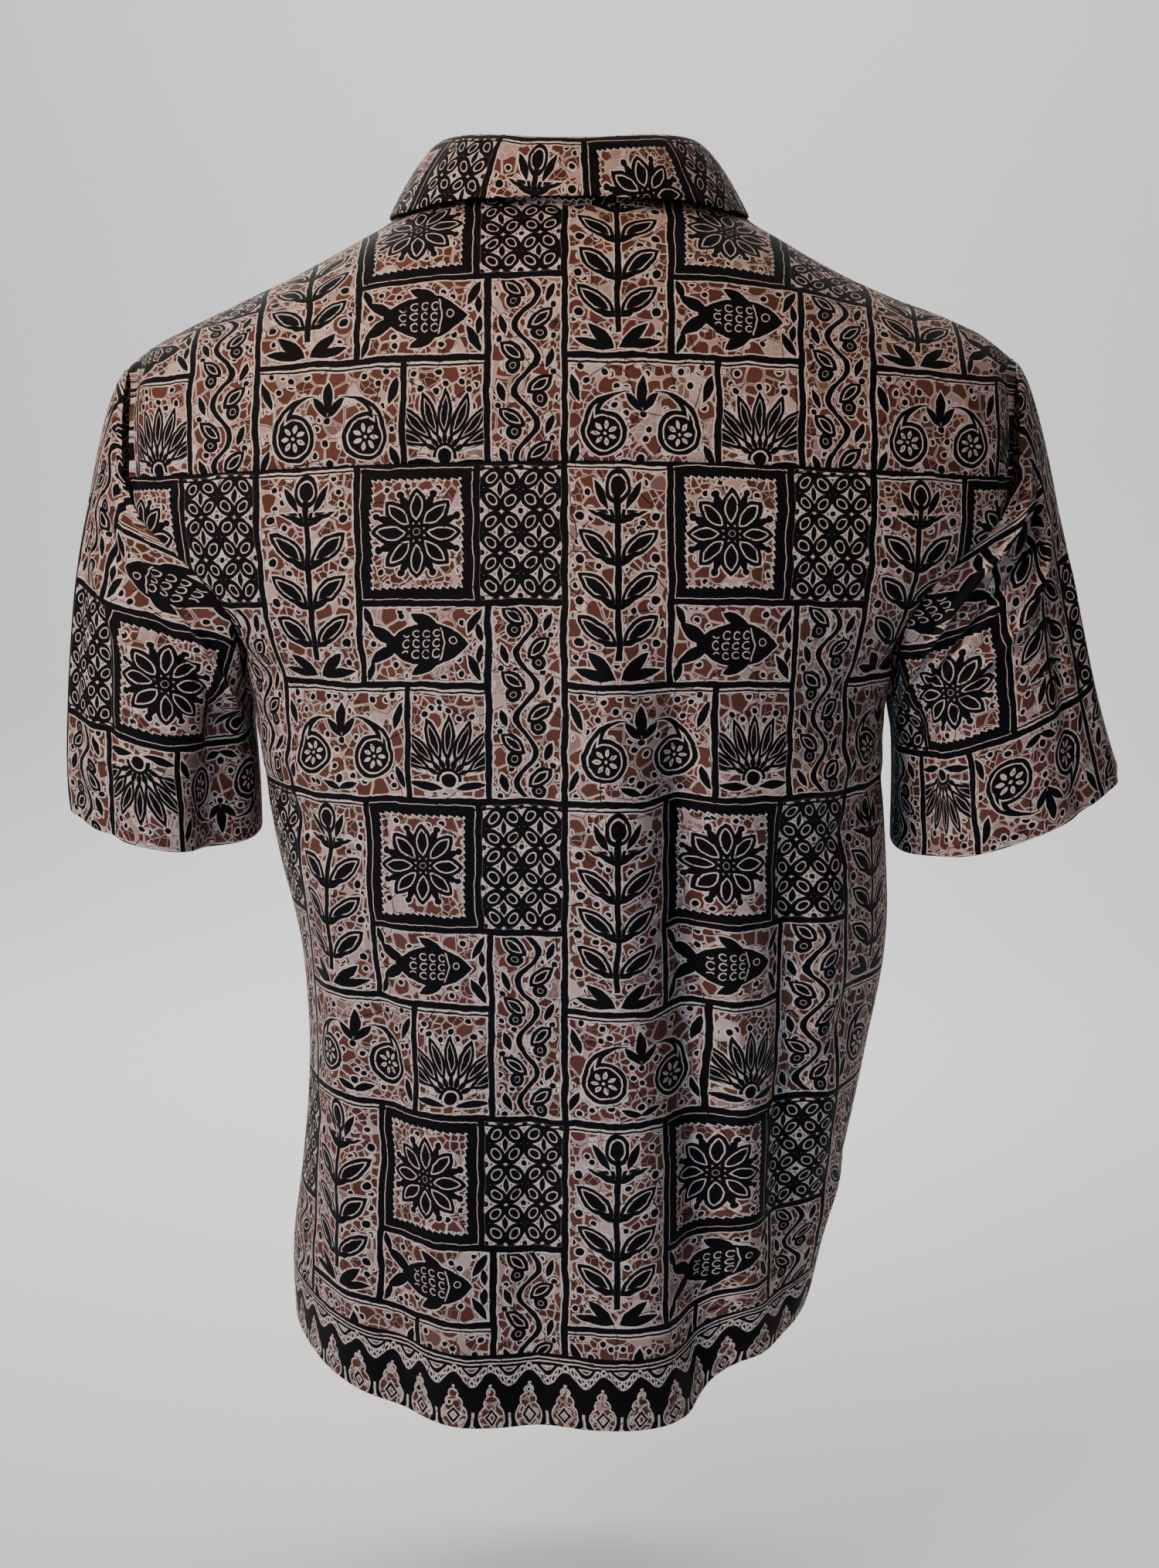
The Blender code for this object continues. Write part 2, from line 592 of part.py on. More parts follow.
def make_stand():
    turn = collar_turns()
    foot = neck_seam(turn)
    top = stand_top(turn)
    share = np.linspace(0, 1, STAND_ROWS + 1)[None, :, None]
    grid = foot[:, None, :] * (1 - share) + top[:, None, :] * share
    radial = np.stack([np.sin(np.radians(turn)), np.cos(np.radians(turn)), np.zeros_like(turn)], axis=-1)
    over = np.clip((np.abs(turn) - 180) / LAP_TURN + 2, 0, 1) * np.sign(turn)
    shift = over * STAND_LAP_STEP / 2
    grid = grid + radial[:, None, :] * shift[:, None, None]
    lift = STAND_LIFT + STAND_LAP_STEP / 2 * np.abs(over)
    grid = grid + np.array([0, 0, 1]) * (1 - share) * lift[:, None, None]
    cloth_object("collar_stand", grid[::-1], cloth_material("collar_stand"), COLLAR_CLOTH)


def leaf_edge(turn):
    knots = column(LEAF_EDGE, LEAF_COLUMNS, "turn")
    x = smooth(knots, column(LEAF_EDGE, LEAF_COLUMNS, "x"), np.abs(turn)) * np.sign(turn)
    y = smooth(knots, column(LEAF_EDGE, LEAF_COLUMNS, "y"), np.abs(turn))
    lift = smooth(knots, column(LEAF_EDGE, LEAF_COLUMNS, "lift"), np.abs(turn))
    on_shirt = np.where((y > ridge("y", x))[..., None], surface("back", x, y), surface("front", x, y))
    return on_shirt + np.array([0, 0, 1]) * lift[..., None]


def make_leaf():
    end = LEAF_EDGE["point"][0]
    turn = collar_turns()
    turn = np.concatenate([[-end], turn[np.abs(turn) < end - 1], [end]])
    radial = np.stack([np.sin(np.radians(turn)), np.cos(np.radians(turn)), np.zeros_like(turn)], axis=-1)
    start = stand_top(turn) - radial * COLLAR_CLOTH + np.array([0, 0, SEAM_GAP * 1.5])
    edge = leaf_edge(turn)
    up = start + np.array([0, 0, LEAF_ROLL_UP])
    out = start + radial * LEAF_ROLL_OUT + np.array([0, 0, LEAF_ROLL_UP])
    share = (np.linspace(0, 1, LEAF_ROWS + 1) ** LEAF_ROW_POWER)[None, :, None]
    rest = 1 - share
    grid = (start[:, None] * rest ** 3 + up[:, None] * 3 * rest ** 2 * share
            + out[:, None] * 3 * rest * share ** 2 + edge[:, None] * share ** 3)
    cloth_object("collar_leaf", grid, cloth_material("collar_leaf"), COLLAR_CLOTH)


# ---- the buttons -------------------------------------------------------------------------------

def make_button(name, place, facing):
    mesh = bpy.data.meshes.new(name)
    shape = bmesh.new()
    bmesh.ops.create_cone(shape, cap_ends=True, segments=BUTTON_SIDES, radius1=BUTTON_RADIUS,
                          radius2=BUTTON_RADIUS, depth=BUTTON_THICKNESS)
    rims = [edge for edge in shape.edges if abs(edge.verts[0].co.z - edge.verts[1].co.z) < 1e-6]
    bmesh.ops.bevel(shape, geom=rims, offset=BUTTON_BEVEL, segments=1, profile=0.5, affect="EDGES")
    turn = Vector(facing).to_track_quat("Z", "Y").to_matrix().to_4x4()
    centre = Vector(place) + Vector(facing) * (BUTTON_THICKNESS / 2)
    bmesh.ops.transform(shape, matrix=Matrix.Translation(centre) @ turn, verts=shape.verts)
    shape.to_mesh(mesh)
    shape.free()
    finish(bpy.data.objects.new(name, mesh), button_material)


def front_point(z):
    """The outer face of the fronts on the centre line at this height, and the way it faces."""
    heights = np.linspace(0, 1, 400)
    line = wall("front", np.zeros(400), heights)
    low = float(np.interp(z, line[:, 2], heights))
    above = roof("front", np.zeros(400), np.linspace(1, 0, 400))
    if z < line[-1, 2]:
        point = wall("front", np.array(0.0), np.array(low))
        beside = wall("front", np.array(0.0), np.array(low + 0.01))
    else:
        place = float(np.interp(z, above[:, 2], np.linspace(1, 0, 400)))
        point = roof("front", np.array(0.0), np.array(place))
        beside = roof("front", np.array(0.0), np.array(place - 0.01))
    slope = beside - point
    facing = np.array([0, -slope[2], slope[1]])
    return point, facing / np.linalg.norm(facing)


def make_buttons():
    top = stand_top(np.array(180.0))
    foot = neck_seam(np.array(180.0))
    middle = (top + foot) / 2
    up = (top - foot) / np.linalg.norm(top - foot)
    facing = np.array([0, -up[2], up[1]])
    make_button("button_1", middle + facing * (STAND_LAP_STEP / 2 + SEAM_GAP), facing)
    for number in range(BUTTONS_DOWN_FRONT):
        point, facing = front_point(BUTTON_TOP_Z - number * BUTTON_PITCH)
        make_button(f"button_{number + 2}", point + facing * SEAM_GAP, facing)


# ---- the whole shirt ---------------------------------------------------------------------------

for old in list(bpy.data.objects):
    bpy.data.objects.remove(old, do_unlink=True)

shirt = bpy.data.collections.new("shirt")
bpy.context.scene.collection.children.link(shirt)
button_material = plain_material("button", (0.05, 0.03, 0.02, 1), 0.35)
make_back()
make_yoke()
make_front("front_left", 1, 0.0)
make_front("front_right", -1, -LAP_STEP)
make_sleeve("left", 1)
make_sleeve("right", -1)
make_stand()
make_leaf()
make_buttons()
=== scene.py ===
# A men's short-sleeved batik shirt of thin cotton, filled out as when worn, seen from behind.
# Metres, +Z up, the front faces -Y. Each panel is a thin shell on the form of its CAD solid, with
# folds and seams of its own. Its UV map is its flat cut in metres, and the print is worked out from
# that map, so the print bends with the cloth.

import math

import bmesh
import bpy
import numpy as np
from mathutils import Matrix, Vector, noise


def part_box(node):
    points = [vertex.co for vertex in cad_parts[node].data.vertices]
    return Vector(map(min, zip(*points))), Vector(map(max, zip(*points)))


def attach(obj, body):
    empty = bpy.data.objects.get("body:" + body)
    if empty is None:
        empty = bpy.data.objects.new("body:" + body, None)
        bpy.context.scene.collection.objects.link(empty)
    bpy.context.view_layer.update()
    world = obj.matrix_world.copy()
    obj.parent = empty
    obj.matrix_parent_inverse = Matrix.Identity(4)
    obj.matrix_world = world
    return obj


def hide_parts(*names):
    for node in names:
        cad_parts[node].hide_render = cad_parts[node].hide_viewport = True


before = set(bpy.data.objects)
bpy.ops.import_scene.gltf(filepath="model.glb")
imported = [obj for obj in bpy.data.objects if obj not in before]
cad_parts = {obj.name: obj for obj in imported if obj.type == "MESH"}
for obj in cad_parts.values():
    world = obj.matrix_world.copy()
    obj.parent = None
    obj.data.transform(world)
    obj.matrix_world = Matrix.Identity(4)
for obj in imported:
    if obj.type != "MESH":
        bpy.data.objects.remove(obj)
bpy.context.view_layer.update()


# The camera stands behind the shirt and looks a little down.
cameraView = {"target": (-0.006, 0.0, -0.340), "distance": 1.75, "pitch": 11.5, "field": 30.0}


# A new object in the scene for a mesh, a camera or a light.
def sceneObject(data):
    thing = bpy.data.objects.new(data.name, data)
    bpy.context.scene.collection.objects.link(thing)
    return thing


# A camera or a light at a place, looking at its target.
def aimedObject(data, place, target):
    thing = sceneObject(data)
    thing.location = place
    thing.rotation_euler = (Vector(target) - Vector(place)).to_track_quat("-Z", "Y").to_euler()
    return thing


def makeCamera():
    data = bpy.data.cameras.new("camera")
    data.sensor_fit = "VERTICAL"
    data.angle = math.radians(cameraView["field"])
    pitch = math.radians(cameraView["pitch"])
    target = Vector(cameraView["target"])
    place = target + Vector((0, math.cos(pitch), math.sin(pitch))) * cameraView["distance"]
    bpy.context.scene.camera = aimedObject(data, place, target)


# Soft studio light from behind the camera: neutral from the left, warm over the shoulders and cool
# from below. The last two light the front of the shirt and the wall.
lights = {
    "key":   {"place": (1.15, 1.25, 0.45), "aim": (0, 0, -0.12), "size": 0.7, "power": 6.5, "spread": 90,
              "colour": (1.0, 0.94, 0.87)},
    "fill":  {"place": (0.40, 1.60, -0.80), "aim": (0.02, 0, -0.62), "size": 0.8, "power": 0.95, "spread": 40,
              "colour": (0.15, 0.52, 1.0)},
    "top":   {"place": (0.60, 0.90, 0.66), "aim": (0, 0.05, -0.02), "size": 0.6, "power": 1.35, "spread": 80,
              "colour": (1.0, 0.48, 0.15)},
    "front": {"place": (0.40, -1.50, 0.50), "aim": (0, 0, -0.30), "size": 1.4, "power": 16, "spread": 180,
              "colour": (1.0, 1.0, 1.0)},
    "wall":  {"place": (0.0, -0.75, 1.10), "aim": (0, -2.3, -0.30), "size": 1.6, "power": 42, "spread": 180,
              "colour": (1.0, 1.0, 1.0)},
}
skyLight = {"colour": (0.93, 0.94, 0.96, 1), "strength": 0.15}


def makeLights():
    for name, look in lights.items():
        data = bpy.data.lights.new(name, "AREA")
        data.size = look["size"]
        data.energy = look["power"]
        data.color = look["colour"]
        data.spread = math.radians(look["spread"])
        aimedObject(data, look["place"], look["aim"])
    world = bpy.data.worlds.new("studio")
    world.use_nodes = True
    background = world.node_tree.nodes["Background"].inputs
    background["Color"].default_value = skyLight["colour"]
    background["Strength"].default_value = skyLight["strength"]
    bpy.context.scene.world = world


# A new material and the inputs of its shader.
def newPaint(name):
    paint = bpy.data.materials.new(name)
    paint.use_nodes = True
    return paint, paint.node_tree.nodes["Principled BSDF"].inputs


# The floor from where it starts, the curve it runs into and the wall that goes up from there, with
# the shares of the whole run that the floor and the curve take.
backdrop = {"z": -0.86, "halfWidth": 6.0, "startY": 3.0, "length": 4.5, "curve": 0.8, "height": 4.0,
            "floorShare": 0.45, "curveShare": 0.15, "colour": (0.86, 0.86, 0.86, 1), "roughness": 0.9}


# A plain pale floor that runs into a pale wall beyond the shirt.
def makeFloor():
    shape = bmesh.new()
    bmesh.ops.create_grid(shape, x_segments=2, y_segments=60, size=1)
    wallShare = 1 - backdrop["floorShare"] - backdrop["curveShare"]
    for vertex in shape.verts:
        run = (vertex.co.y + 1) / 2
        onFloor = min(run / backdrop["floorShare"], 1)
        turn = min(max((run - backdrop["floorShare"]) / backdrop["curveShare"], 0), 1) * math.pi / 2
        onWall = max(run - 1 + wallShare, 0) / wallShare
        y = backdrop["startY"] - backdrop["length"] * onFloor - math.sin(turn) * backdrop["curve"]
        z = (1 - math.cos(turn)) * backdrop["curve"] + onWall * backdrop["height"]
        vertex.co = Vector((vertex.co.x * backdrop["halfWidth"], y, backdrop["z"] + z))
    mesh = bpy.data.meshes.new("floor")
    shape.to_mesh(mesh)
    shape.free()
    mesh.shade_smooth()
    paint, shader = newPaint("pale_floor")
    shader["Base Color"].default_value = backdrop["colour"]
    shader["Roughness"].default_value = backdrop["roughness"]
    mesh.materials.append(paint)
    sceneObject(mesh)


makeCamera()
makeLights()
makeFloor()
print("camera, light and floor")


# How thick the cloth and the lined collar are, the gap at a seam, and how far the fronts lap.
clothThick = 0.0006
collarThick = 0.0011
seamGap = 0.0004
lapWidth = 0.034
lapStep = 0.0017  # how far the right front lies under the left one
lapFadeStart = 0.55  # where it starts to come level again, in laps from the centre

# The form's rows from the hem up to the yoke, as in the CAD model. Each is half an oval behind and
# half of one in front. Reach is its half width, and cut is the y where it ends at the armhole.
levelColumns = ("backZ", "backY", "frontZ", "frontY", "edgeZ", "leftReach", "rightReach",
                "backCut", "frontCut")
levels = {
    "hem":        (-0.697, 0.126, -0.690, -0.124, -0.664, 0.1690, 0.1470, 0.000, 0.000),
    "seat":       (-0.640, 0.129, -0.634, -0.130, -0.620, 0.1690, 0.1550, 0.000, 0.000),
    "hip":        (-0.580, 0.127, -0.576, -0.133, -0.570, 0.1630, 0.1660, 0.000, 0.000),
    "waist":      (-0.500, 0.123, -0.498, -0.134, -0.496, 0.1570, 0.1800, 0.000, 0.000),
    "ribs":       (-0.430, 0.124, -0.429, -0.135, -0.430, 0.1610, 0.1900, 0.000, 0.000),
    "chest":      (-0.370, 0.128, -0.369, -0.137, -0.374, 0.1735, 0.1890, 0.000, 0.000),
    "sideTop":    (-0.322, 0.131, -0.321, -0.138, -0.328, 0.1815, 0.1860, 0.000, 0.000),
    "underarm":   (-0.276, 0.132, -0.276, -0.137, -0.285, 0.1870, 0.1875, 0.000, 0.000),
    "armLow":     (-0.253, 0.132, -0.253, -0.136, -0.262, 0.1960, 0.1965, 0.048, -0.049),
    "armInner":   (-0.228, 0.131, -0.229, -0.134, -0.237, 0.2160, 0.2165, 0.073, -0.073),
    "armHollow":  (-0.206, 0.130, -0.209, -0.132, -0.215, 0.2400, 0.2410, 0.081, -0.080),
    "armSlant":   (-0.187, 0.128, -0.192, -0.130, -0.197, 0.2590, 0.2610, 0.079, -0.078),
    "armOuter":   (-0.167, 0.126, -0.175, -0.127, -0.178, 0.2700, 0.2725, 0.068, -0.068),
    "yoke":       (-0.136, 0.121, -0.150, -0.122, -0.152, 0.2714, 0.2740, 0.051, -0.0514),
}

# The line along the top of the shoulders, from the middle of the neck out to the sleeve.
ridgeColumns = ("x", "y", "backZ", "frontZ", "rightRise")
ridgeTable = {
    "neckMiddle": (0.0000, 0.010, 0.016, -0.040, 0.000),
    "neckHalf":   (0.0400, 0.009, 0.013, -0.024, 0.000),
    "neckSide":   (0.0750, 0.008, 0.004, 0.004, 0.000),
    "collarFoot": (0.1120, 0.006, -0.016, -0.016, 0.001),
    "mid":        (0.1500, 0.004, -0.037, -0.037, 0.001),
    "outer":      (0.1900, 0.002, -0.056, -0.056, 0.002),
    "slope":      (0.2200, 0.001, -0.070, -0.070, 0.005),
    "cap":        (0.2420, 0.000, -0.082, -0.082, 0.006),
    "sleeveHead": (0.2560, 0.000, -0.093, -0.093, 0.006),
}

# How square the ovals are, how the shoulders round off, and how the hem rises to the sides.
ovalPower = 2.3
roofPower = {"back": 0.85, "front": 1.0}
cornerSwing = 2.6  # how sharply the armhole turns in at the underarm
hemRisePower = 3.4
rowRisePower = 2.0
hemRiseTop = 1 / 3
hemTuckLift = 0.022
hemTuckStart = 0.070
hemTuckWidth = 0.036

# The neck seam in plan, and the yoke's seam in front.
neckHalfWidth = 0.0750
neckRounding = 0.030
neckBackY = 0.0700
neckFrontY = -0.0770
yokeFrontY = -0.0340


def soften(t):
    t = np.clip(t, 0, 1)
    return t * t * (3 - 2 * t)


def unit(ways):
    return ways / np.linalg.norm(ways, axis=-1, keepdims=True)


# One column of a table of named rows.
def column(table, columns, name):
    place = columns.index(name)
    return np.array([row[place] for row in table.values()], dtype=float)


# A smooth curve through values at rising knots. It may turn sharply at one corner knot.
def smooth(knots, values, at, corner=None):
    at = np.clip(np.asarray(at, dtype=float), knots[0], knots[-1])
    steps = np.diff(knots)
    slopes = np.diff(values) / steps
    tangents = np.empty_like(values)
    tangents[0] = slopes[0]
    tangents[-1] = slopes[-1]
    tangents[1:-1] = (slopes[:-1] * steps[1:] + slopes[1:] * steps[:-1]) / (steps[1:] + steps[:-1])
    leaving = tangents.copy()
    if corner is not None:
        tangents[corner] = slopes[corner - 1]
        leaving[corner] = slopes[corner] * cornerSwing
    span = np.clip(np.searchsorted(knots, at, side="right") - 1, 0, len(steps) - 1)
    width = steps[span]
    t = (at - knots[span]) / width
    start = values[span] * (1 + 2 * t) * (1 - t) ** 2 + leaving[span] * width * t * (1 - t) ** 2
    end = values[span + 1] * t ** 2 * (3 - 2 * t) - tangents[span + 1] * width * t ** 2 * (1 - t)
    return start + end


edgeZ = column(levels, levelColumns, "edgeZ")
levelKnots = (edgeZ - edgeZ[0]) / (edgeZ[-1] - edgeZ[0])
underarmRow = list(levels).index("underarm")
underarm = float(levelKnots[underarmRow])
ridgeX = column(ridgeTable, ridgeColumns, "x")


def level(name, height):
    corner = underarmRow if name.endswith("Cut") else None
    return smooth(levelKnots, column(levels, levelColumns, name), height, corner)


# A column of the ridge table at x, rounded over the middle, where the table has a corner.
def ridge(name, x):
    x = np.abs(x)
    near = np.clip(x / neckRounding, 0, 1)
    return smooth(ridgeX, column(ridgeTable, ridgeColumns, name), x * near * (2 - near))


# How far round its oval a row goes before it is cut off.
def rowTurn(half, height):
    share = np.clip(level(half + "Cut", height) / level(half + "Y", height), 0, 1)
    return np.arccos(share ** (ovalPower / 2))


def rowReach(x, height):
    return np.where(x > 0, level("leftReach", height), level("rightReach", height))


# The form below the yoke: across runs from -1 on the right to 1 on the left, height 0 to 1.
def wall(half, across, height):
    across, height = np.broadcast_arrays(np.asarray(across, float), np.asarray(height, float))
    turn = rowTurn(half, height)
    angle = np.abs(across) * turn
    out = np.sin(angle) ** (2 / ovalPower)
    y = level(half + "Y", height) * np.clip(np.cos(angle), 0, 1) ** (2 / ovalPower)
    midZ = level(half + "Z", height)
    aboveHem = np.clip(height / hemRiseTop, 0, 1)
    rise = hemRisePower + (rowRisePower - hemRisePower) * aboveHem
    z = midZ + (level("edgeZ", height) - midZ) * (out / np.sin(turn) ** (2 / ovalPower)) ** rise
    x = np.sign(across) * rowReach(across, height) * out
    z = z + hemTuckLift * soften((-x - hemTuckStart) / hemTuckWidth) * (1 - aboveHem) ** 2
    return np.stack([x, y, z], axis=-1)


# Which across value puts the wall's top row at this x.
def acrossAt(half, x):
    out = np.clip(np.abs(x) / rowReach(x, 1.0), 0, 1)
    return np.sign(x) * np.clip(np.arcsin(out ** (ovalPower / 2)) / rowTurn(half, 1.0), 0, 1)


# The form over the shoulders: turn is 0 on the ridge and 1 on the wall's top row.
def roof(half, x, turn):
    x, turn = np.broadcast_arrays(np.asarray(x, float), np.asarray(turn, float))
    topY = ridge("y", x)
    topZ = ridge(half + "Z", x) + np.where(x < 0, ridge("rightRise", x), 0)
    foot = wall(half, acrossAt(half, x), np.ones_like(x))
    swing = np.sin(turn * math.pi / 2) ** roofPower[half]
    lift = np.cos(turn * math.pi / 2) ** roofPower[half]
    y = topY + (foot[..., 1] - topY) * swing
    z = foot[..., 2] + (topZ - foot[..., 2]) * lift
    return np.stack([x, y, z], axis=-1)


# Which turn puts the roof at this y.
def roofTurn(half, x, y):
    footY = wall(half, acrossAt(half, x), np.ones_like(x))[..., 1]
    topY = ridge("y", x)
    share = np.clip((y - topY) / (footY - topY), 0, 1)
    return np.arcsin(share ** (1 / roofPower[half])) / (math.pi / 2)


def surface(half, x, y):
    return roof(half, x, roofTurn(half, x, y))


# The roof's turn at a place in plan: positive behind the ridge, negative in front of it.
def signedTurn(x, y):
    return np.where(y > ridge("y", x), roofTurn("back", x, y), -roofTurn("front", x, y))


def signedRoof(x, turn):
    behind = roof("back", x, np.clip(turn, 0, 1))
    ahead = roof("front", x, np.clip(-turn, 0, 1))
    return np.where((turn > 0)[..., None], behind, ahead)


def shoulderX(sign):
    return float(wall("back", sign, 1.0)[..., 0])


# Where the front yoke seam meets the armhole, as the roof's turn.
def seamTurn(sign):
    return float(roofTurn("front", np.array(shoulderX(sign)), yokeFrontY))


# The neck seam in plan: turn in degrees from the back, positive towards the left.
def neckPlan(turn):
    angle = np.radians(turn)
    depth = np.where(np.cos(angle) > 0, neckBackY, -neckFrontY)
    return neckHalfWidth * np.sin(angle), depth * np.cos(angle)


# The point of the form over a place in plan.
def onShoulders(x, y):
    return np.where((y > ridge("y", x))[..., None], surface("back", x, y), surface("front", x, y))


def neckSeam(turn):
    return onShoulders(*neckPlan(turn))


yokeNeckTurn = math.degrees(math.acos(yokeFrontY / -neckFrontY))
yokeNeckX = neckHalfWidth * math.sin(math.radians(yokeNeckTurn))
lapTurn = math.degrees(math.asin(lapWidth / 2 / neckHalfWidth))


# The folds of the body, seen from behind or in front. Each runs through three points (x, z), is so
# wide, and stands so far out, or in where it is negative. The long ones run off the hem.
bodyCreases = {
    "back": {
        "trough":       (-0.060, -0.225, -0.069, -0.460, -0.092, -0.800, 0.019, -0.0180),
        "troughEdge":   (-0.090, -0.360, -0.101, -0.560, -0.124, -0.800, 0.014, 0.0045),
        "ridge":        (-0.016, -0.150, -0.026, -0.380, -0.050, -0.800, 0.030, 0.0100),
        "second":       (-0.118, -0.300, -0.127, -0.450, -0.124, -0.660, 0.014, -0.0100),
        "secondEdge":   (-0.146, -0.330, -0.150, -0.460, -0.143, -0.620, 0.012, 0.0025),
        "leftRidge":    (0.140, -0.330, 0.132, -0.470, 0.124, -0.700, 0.015, 0.0050),
        "leftDip":      (0.116, -0.380, 0.106, -0.540, 0.098, -0.800, 0.018, -0.0056),
        "leftInner":    (0.076, -0.420, 0.070, -0.590, 0.060, -0.800, 0.022, 0.0046),
        "midDip":       (0.026, -0.440, 0.020, -0.610, 0.012, -0.800, 0.022, -0.0066),
        "leftHead":     (0.244, -0.080, 0.253, -0.115, 0.248, -0.180, 0.009, -0.0055),
        "rightHead":    (-0.246, -0.085, -0.256, -0.120, -0.251, -0.190, 0.010, -0.0050),
        "leftPull":     (0.190, -0.292, 0.150, -0.312, 0.095, -0.318, 0.010, 0.0036),
        "leftPullLow":  (0.186, -0.318, 0.150, -0.350, 0.110, -0.372, 0.011, -0.0036),
        "leftBlade":    (0.205, -0.235, 0.168, -0.262, 0.120, -0.272, 0.012, -0.0028),
        "rightPull":    (-0.190, -0.288, -0.150, -0.318, -0.100, -0.335, 0.010, 0.0038),
        "rightPullLow": (-0.188, -0.322, -0.160, -0.352, -0.120, -0.378, 0.011, -0.0040),
        "rightBlade":   (-0.212, -0.230, -0.172, -0.262, -0.128, -0.276, 0.012, -0.0030),
        "rightWaist":   (-0.178, -0.420, -0.152, -0.480, -0.112, -0.512, 0.011, -0.0040),
        "leftWaist":    (0.152, -0.520, 0.128, -0.536, 0.096, -0.545, 0.011, -0.0028),
        "rightHip":     (-0.168, -0.560, -0.146, -0.600, -0.126, -0.680, 0.012, 0.0045),
    },
    "front": {
        "leftFold":   (0.088, -0.320, 0.094, -0.500, 0.106, -0.800, 0.016, 0.0070),
        "leftTrough": (0.122, -0.360, 0.128, -0.520, 0.136, -0.800, 0.013, -0.0080),
        "leftInner":  (0.052, -0.430, 0.056, -0.560, 0.060, -0.800, 0.015, -0.0045),
        "leftPull":   (0.188, -0.290, 0.146, -0.310, 0.102, -0.306, 0.010, 0.0036),
        "leftChest":  (0.206, -0.232, 0.160, -0.262, 0.110, -0.266, 0.012, -0.0032),
        "rightFold":  (-0.098, -0.330, -0.096, -0.500, -0.090, -0.800, 0.016, 0.0068),
        "rightDip":   (-0.064, -0.410, -0.060, -0.560, -0.054, -0.800, 0.014, -0.0055),
        "rightFlank": (-0.134, -0.350, -0.138, -0.480, -0.130, -0.680, 0.012, -0.0068),
        "rightPull":  (-0.188, -0.290, -0.150, -0.316, -0.104, -0.320, 0.010, 0.0040),
        "rightChest": (-0.208, -0.230, -0.164, -0.256, -0.116, -0.262, 0.012, -0.0032),
    },
}

# The folds of the sleeves, in turns round from the underarm up the back, and shares of the way down.
# The width is a share too.
sleeveCreases = {
    "left": {
        "cap":       (0.24, 0.13, 0.34, 0.08, 0.46, 0.06, 0.016, -0.0052),
        "drag":      (0.06, 0.36, 0.20, 0.24, 0.36, 0.06, 0.026, 0.0036),
        "dragLow":   (0.08, 0.52, 0.24, 0.38, 0.38, 0.18, 0.026, -0.0040),
        "dragIn":    (0.12, 0.62, 0.28, 0.50, 0.42, 0.30, 0.022, 0.0032),
        "inside":    (0.09, 0.30, 0.13, 0.70, 0.13, 1.40, 0.065, -0.0160),
        "hang":      (0.33, 0.40, 0.32, 0.70, 0.33, 1.20, 0.022, -0.0046),
        "hangOut":   (0.44, 0.30, 0.43, 0.70, 0.44, 1.20, 0.024, 0.0034),
        "front":     (0.92, 0.40, 0.78, 0.28, 0.63, 0.06, 0.022, 0.0040),
        "frontLow":  (0.90, 0.56, 0.76, 0.42, 0.61, 0.20, 0.020, -0.0040),
        "frontHang": (0.68, 0.45, 0.70, 0.75, 0.69, 1.20, 0.024, -0.0036),
    },
    "right": {
        "drag":      (0.07, 0.30, 0.22, 0.20, 0.40, 0.08, 0.021, 0.0046),
        "dragLow":   (0.09, 0.44, 0.25, 0.33, 0.42, 0.19, 0.020, -0.0048),
        "dragIn":    (0.10, 0.58, 0.26, 0.48, 0.41, 0.34, 0.021, 0.0038),
        "inside":    (0.09, 0.30, 0.12, 0.70, 0.11, 1.40, 0.050, -0.0080),
        "hang":      (0.43, 0.38, 0.42, 0.70, 0.43, 1.20, 0.022, 0.0044),
        "hangIn":    (0.34, 0.50, 0.35, 0.78, 0.34, 1.20, 0.021, -0.0038),
        "front":     (0.93, 0.34, 0.78, 0.22, 0.61, 0.08, 0.021, 0.0042),
        "frontLow":  (0.91, 0.50, 0.76, 0.38, 0.60, 0.22, 0.020, -0.0042),
        "frontHang": (0.64, 0.45, 0.66, 0.75, 0.65, 1.20, 0.023, 0.0038),
    },
}


creasePath = {"points": 13, "fadeIn": 0.33, "fadeOut": 0.25, "startWidth": 0.60}


# A soft ridge along a curve through three points: 1 on its line, fading out at its ends.
def creaseProfile(place, start, middle, end, width):
    pull = middle * 2 - (start + end) / 2
    turns = np.linspace(0, 1, creasePath["points"])[:, None]
    path = start * (1 - turns) ** 2 + pull * 2 * turns * (1 - turns) + end * turns ** 2
    nearest = np.full(place.shape[:-1], np.inf)
    along = np.zeros(place.shape[:-1])
    for step, (here, run) in enumerate(zip(path, np.diff(path, axis=0))):
        share = np.clip((place - here) @ run / (run @ run), 0, 1)
        gap = np.linalg.norm(place - here - share[..., None] * run, axis=-1)
        nearer = gap < nearest
        nearest = np.where(nearer, gap, nearest)
        along = np.where(nearer, (step + share) / (len(path) - 1), along)
    fade = soften(along / creasePath["fadeIn"]) * soften((1 - along) / creasePath["fadeOut"])
    startWidth = creasePath["startWidth"]
    return np.exp(-(nearest / (width * (startWidth + (1 - startWidth) * along))) ** 2) * fade


# How far a table of creases moves each point out. place holds two numbers a point.
def creaseOffset(place, creases):
    offset = np.zeros(place.shape[:-1])
    for x0, z0, x1, z1, x2, z2, width, rise in creases.values():
        bends = np.array([(x0, z0), (x1, z1), (x2, z2)])
        offset += rise * creaseProfile(place, *bends, width)
    return offset


# The waves of thin cotton, by how many a metre there are and how high they stand. They are drawn
# out down the cloth.
clothWaves = ((17, 0.0011), (47, 0.00035), (120, 0.00010))
waveStretch = (1, 1, 0.55)


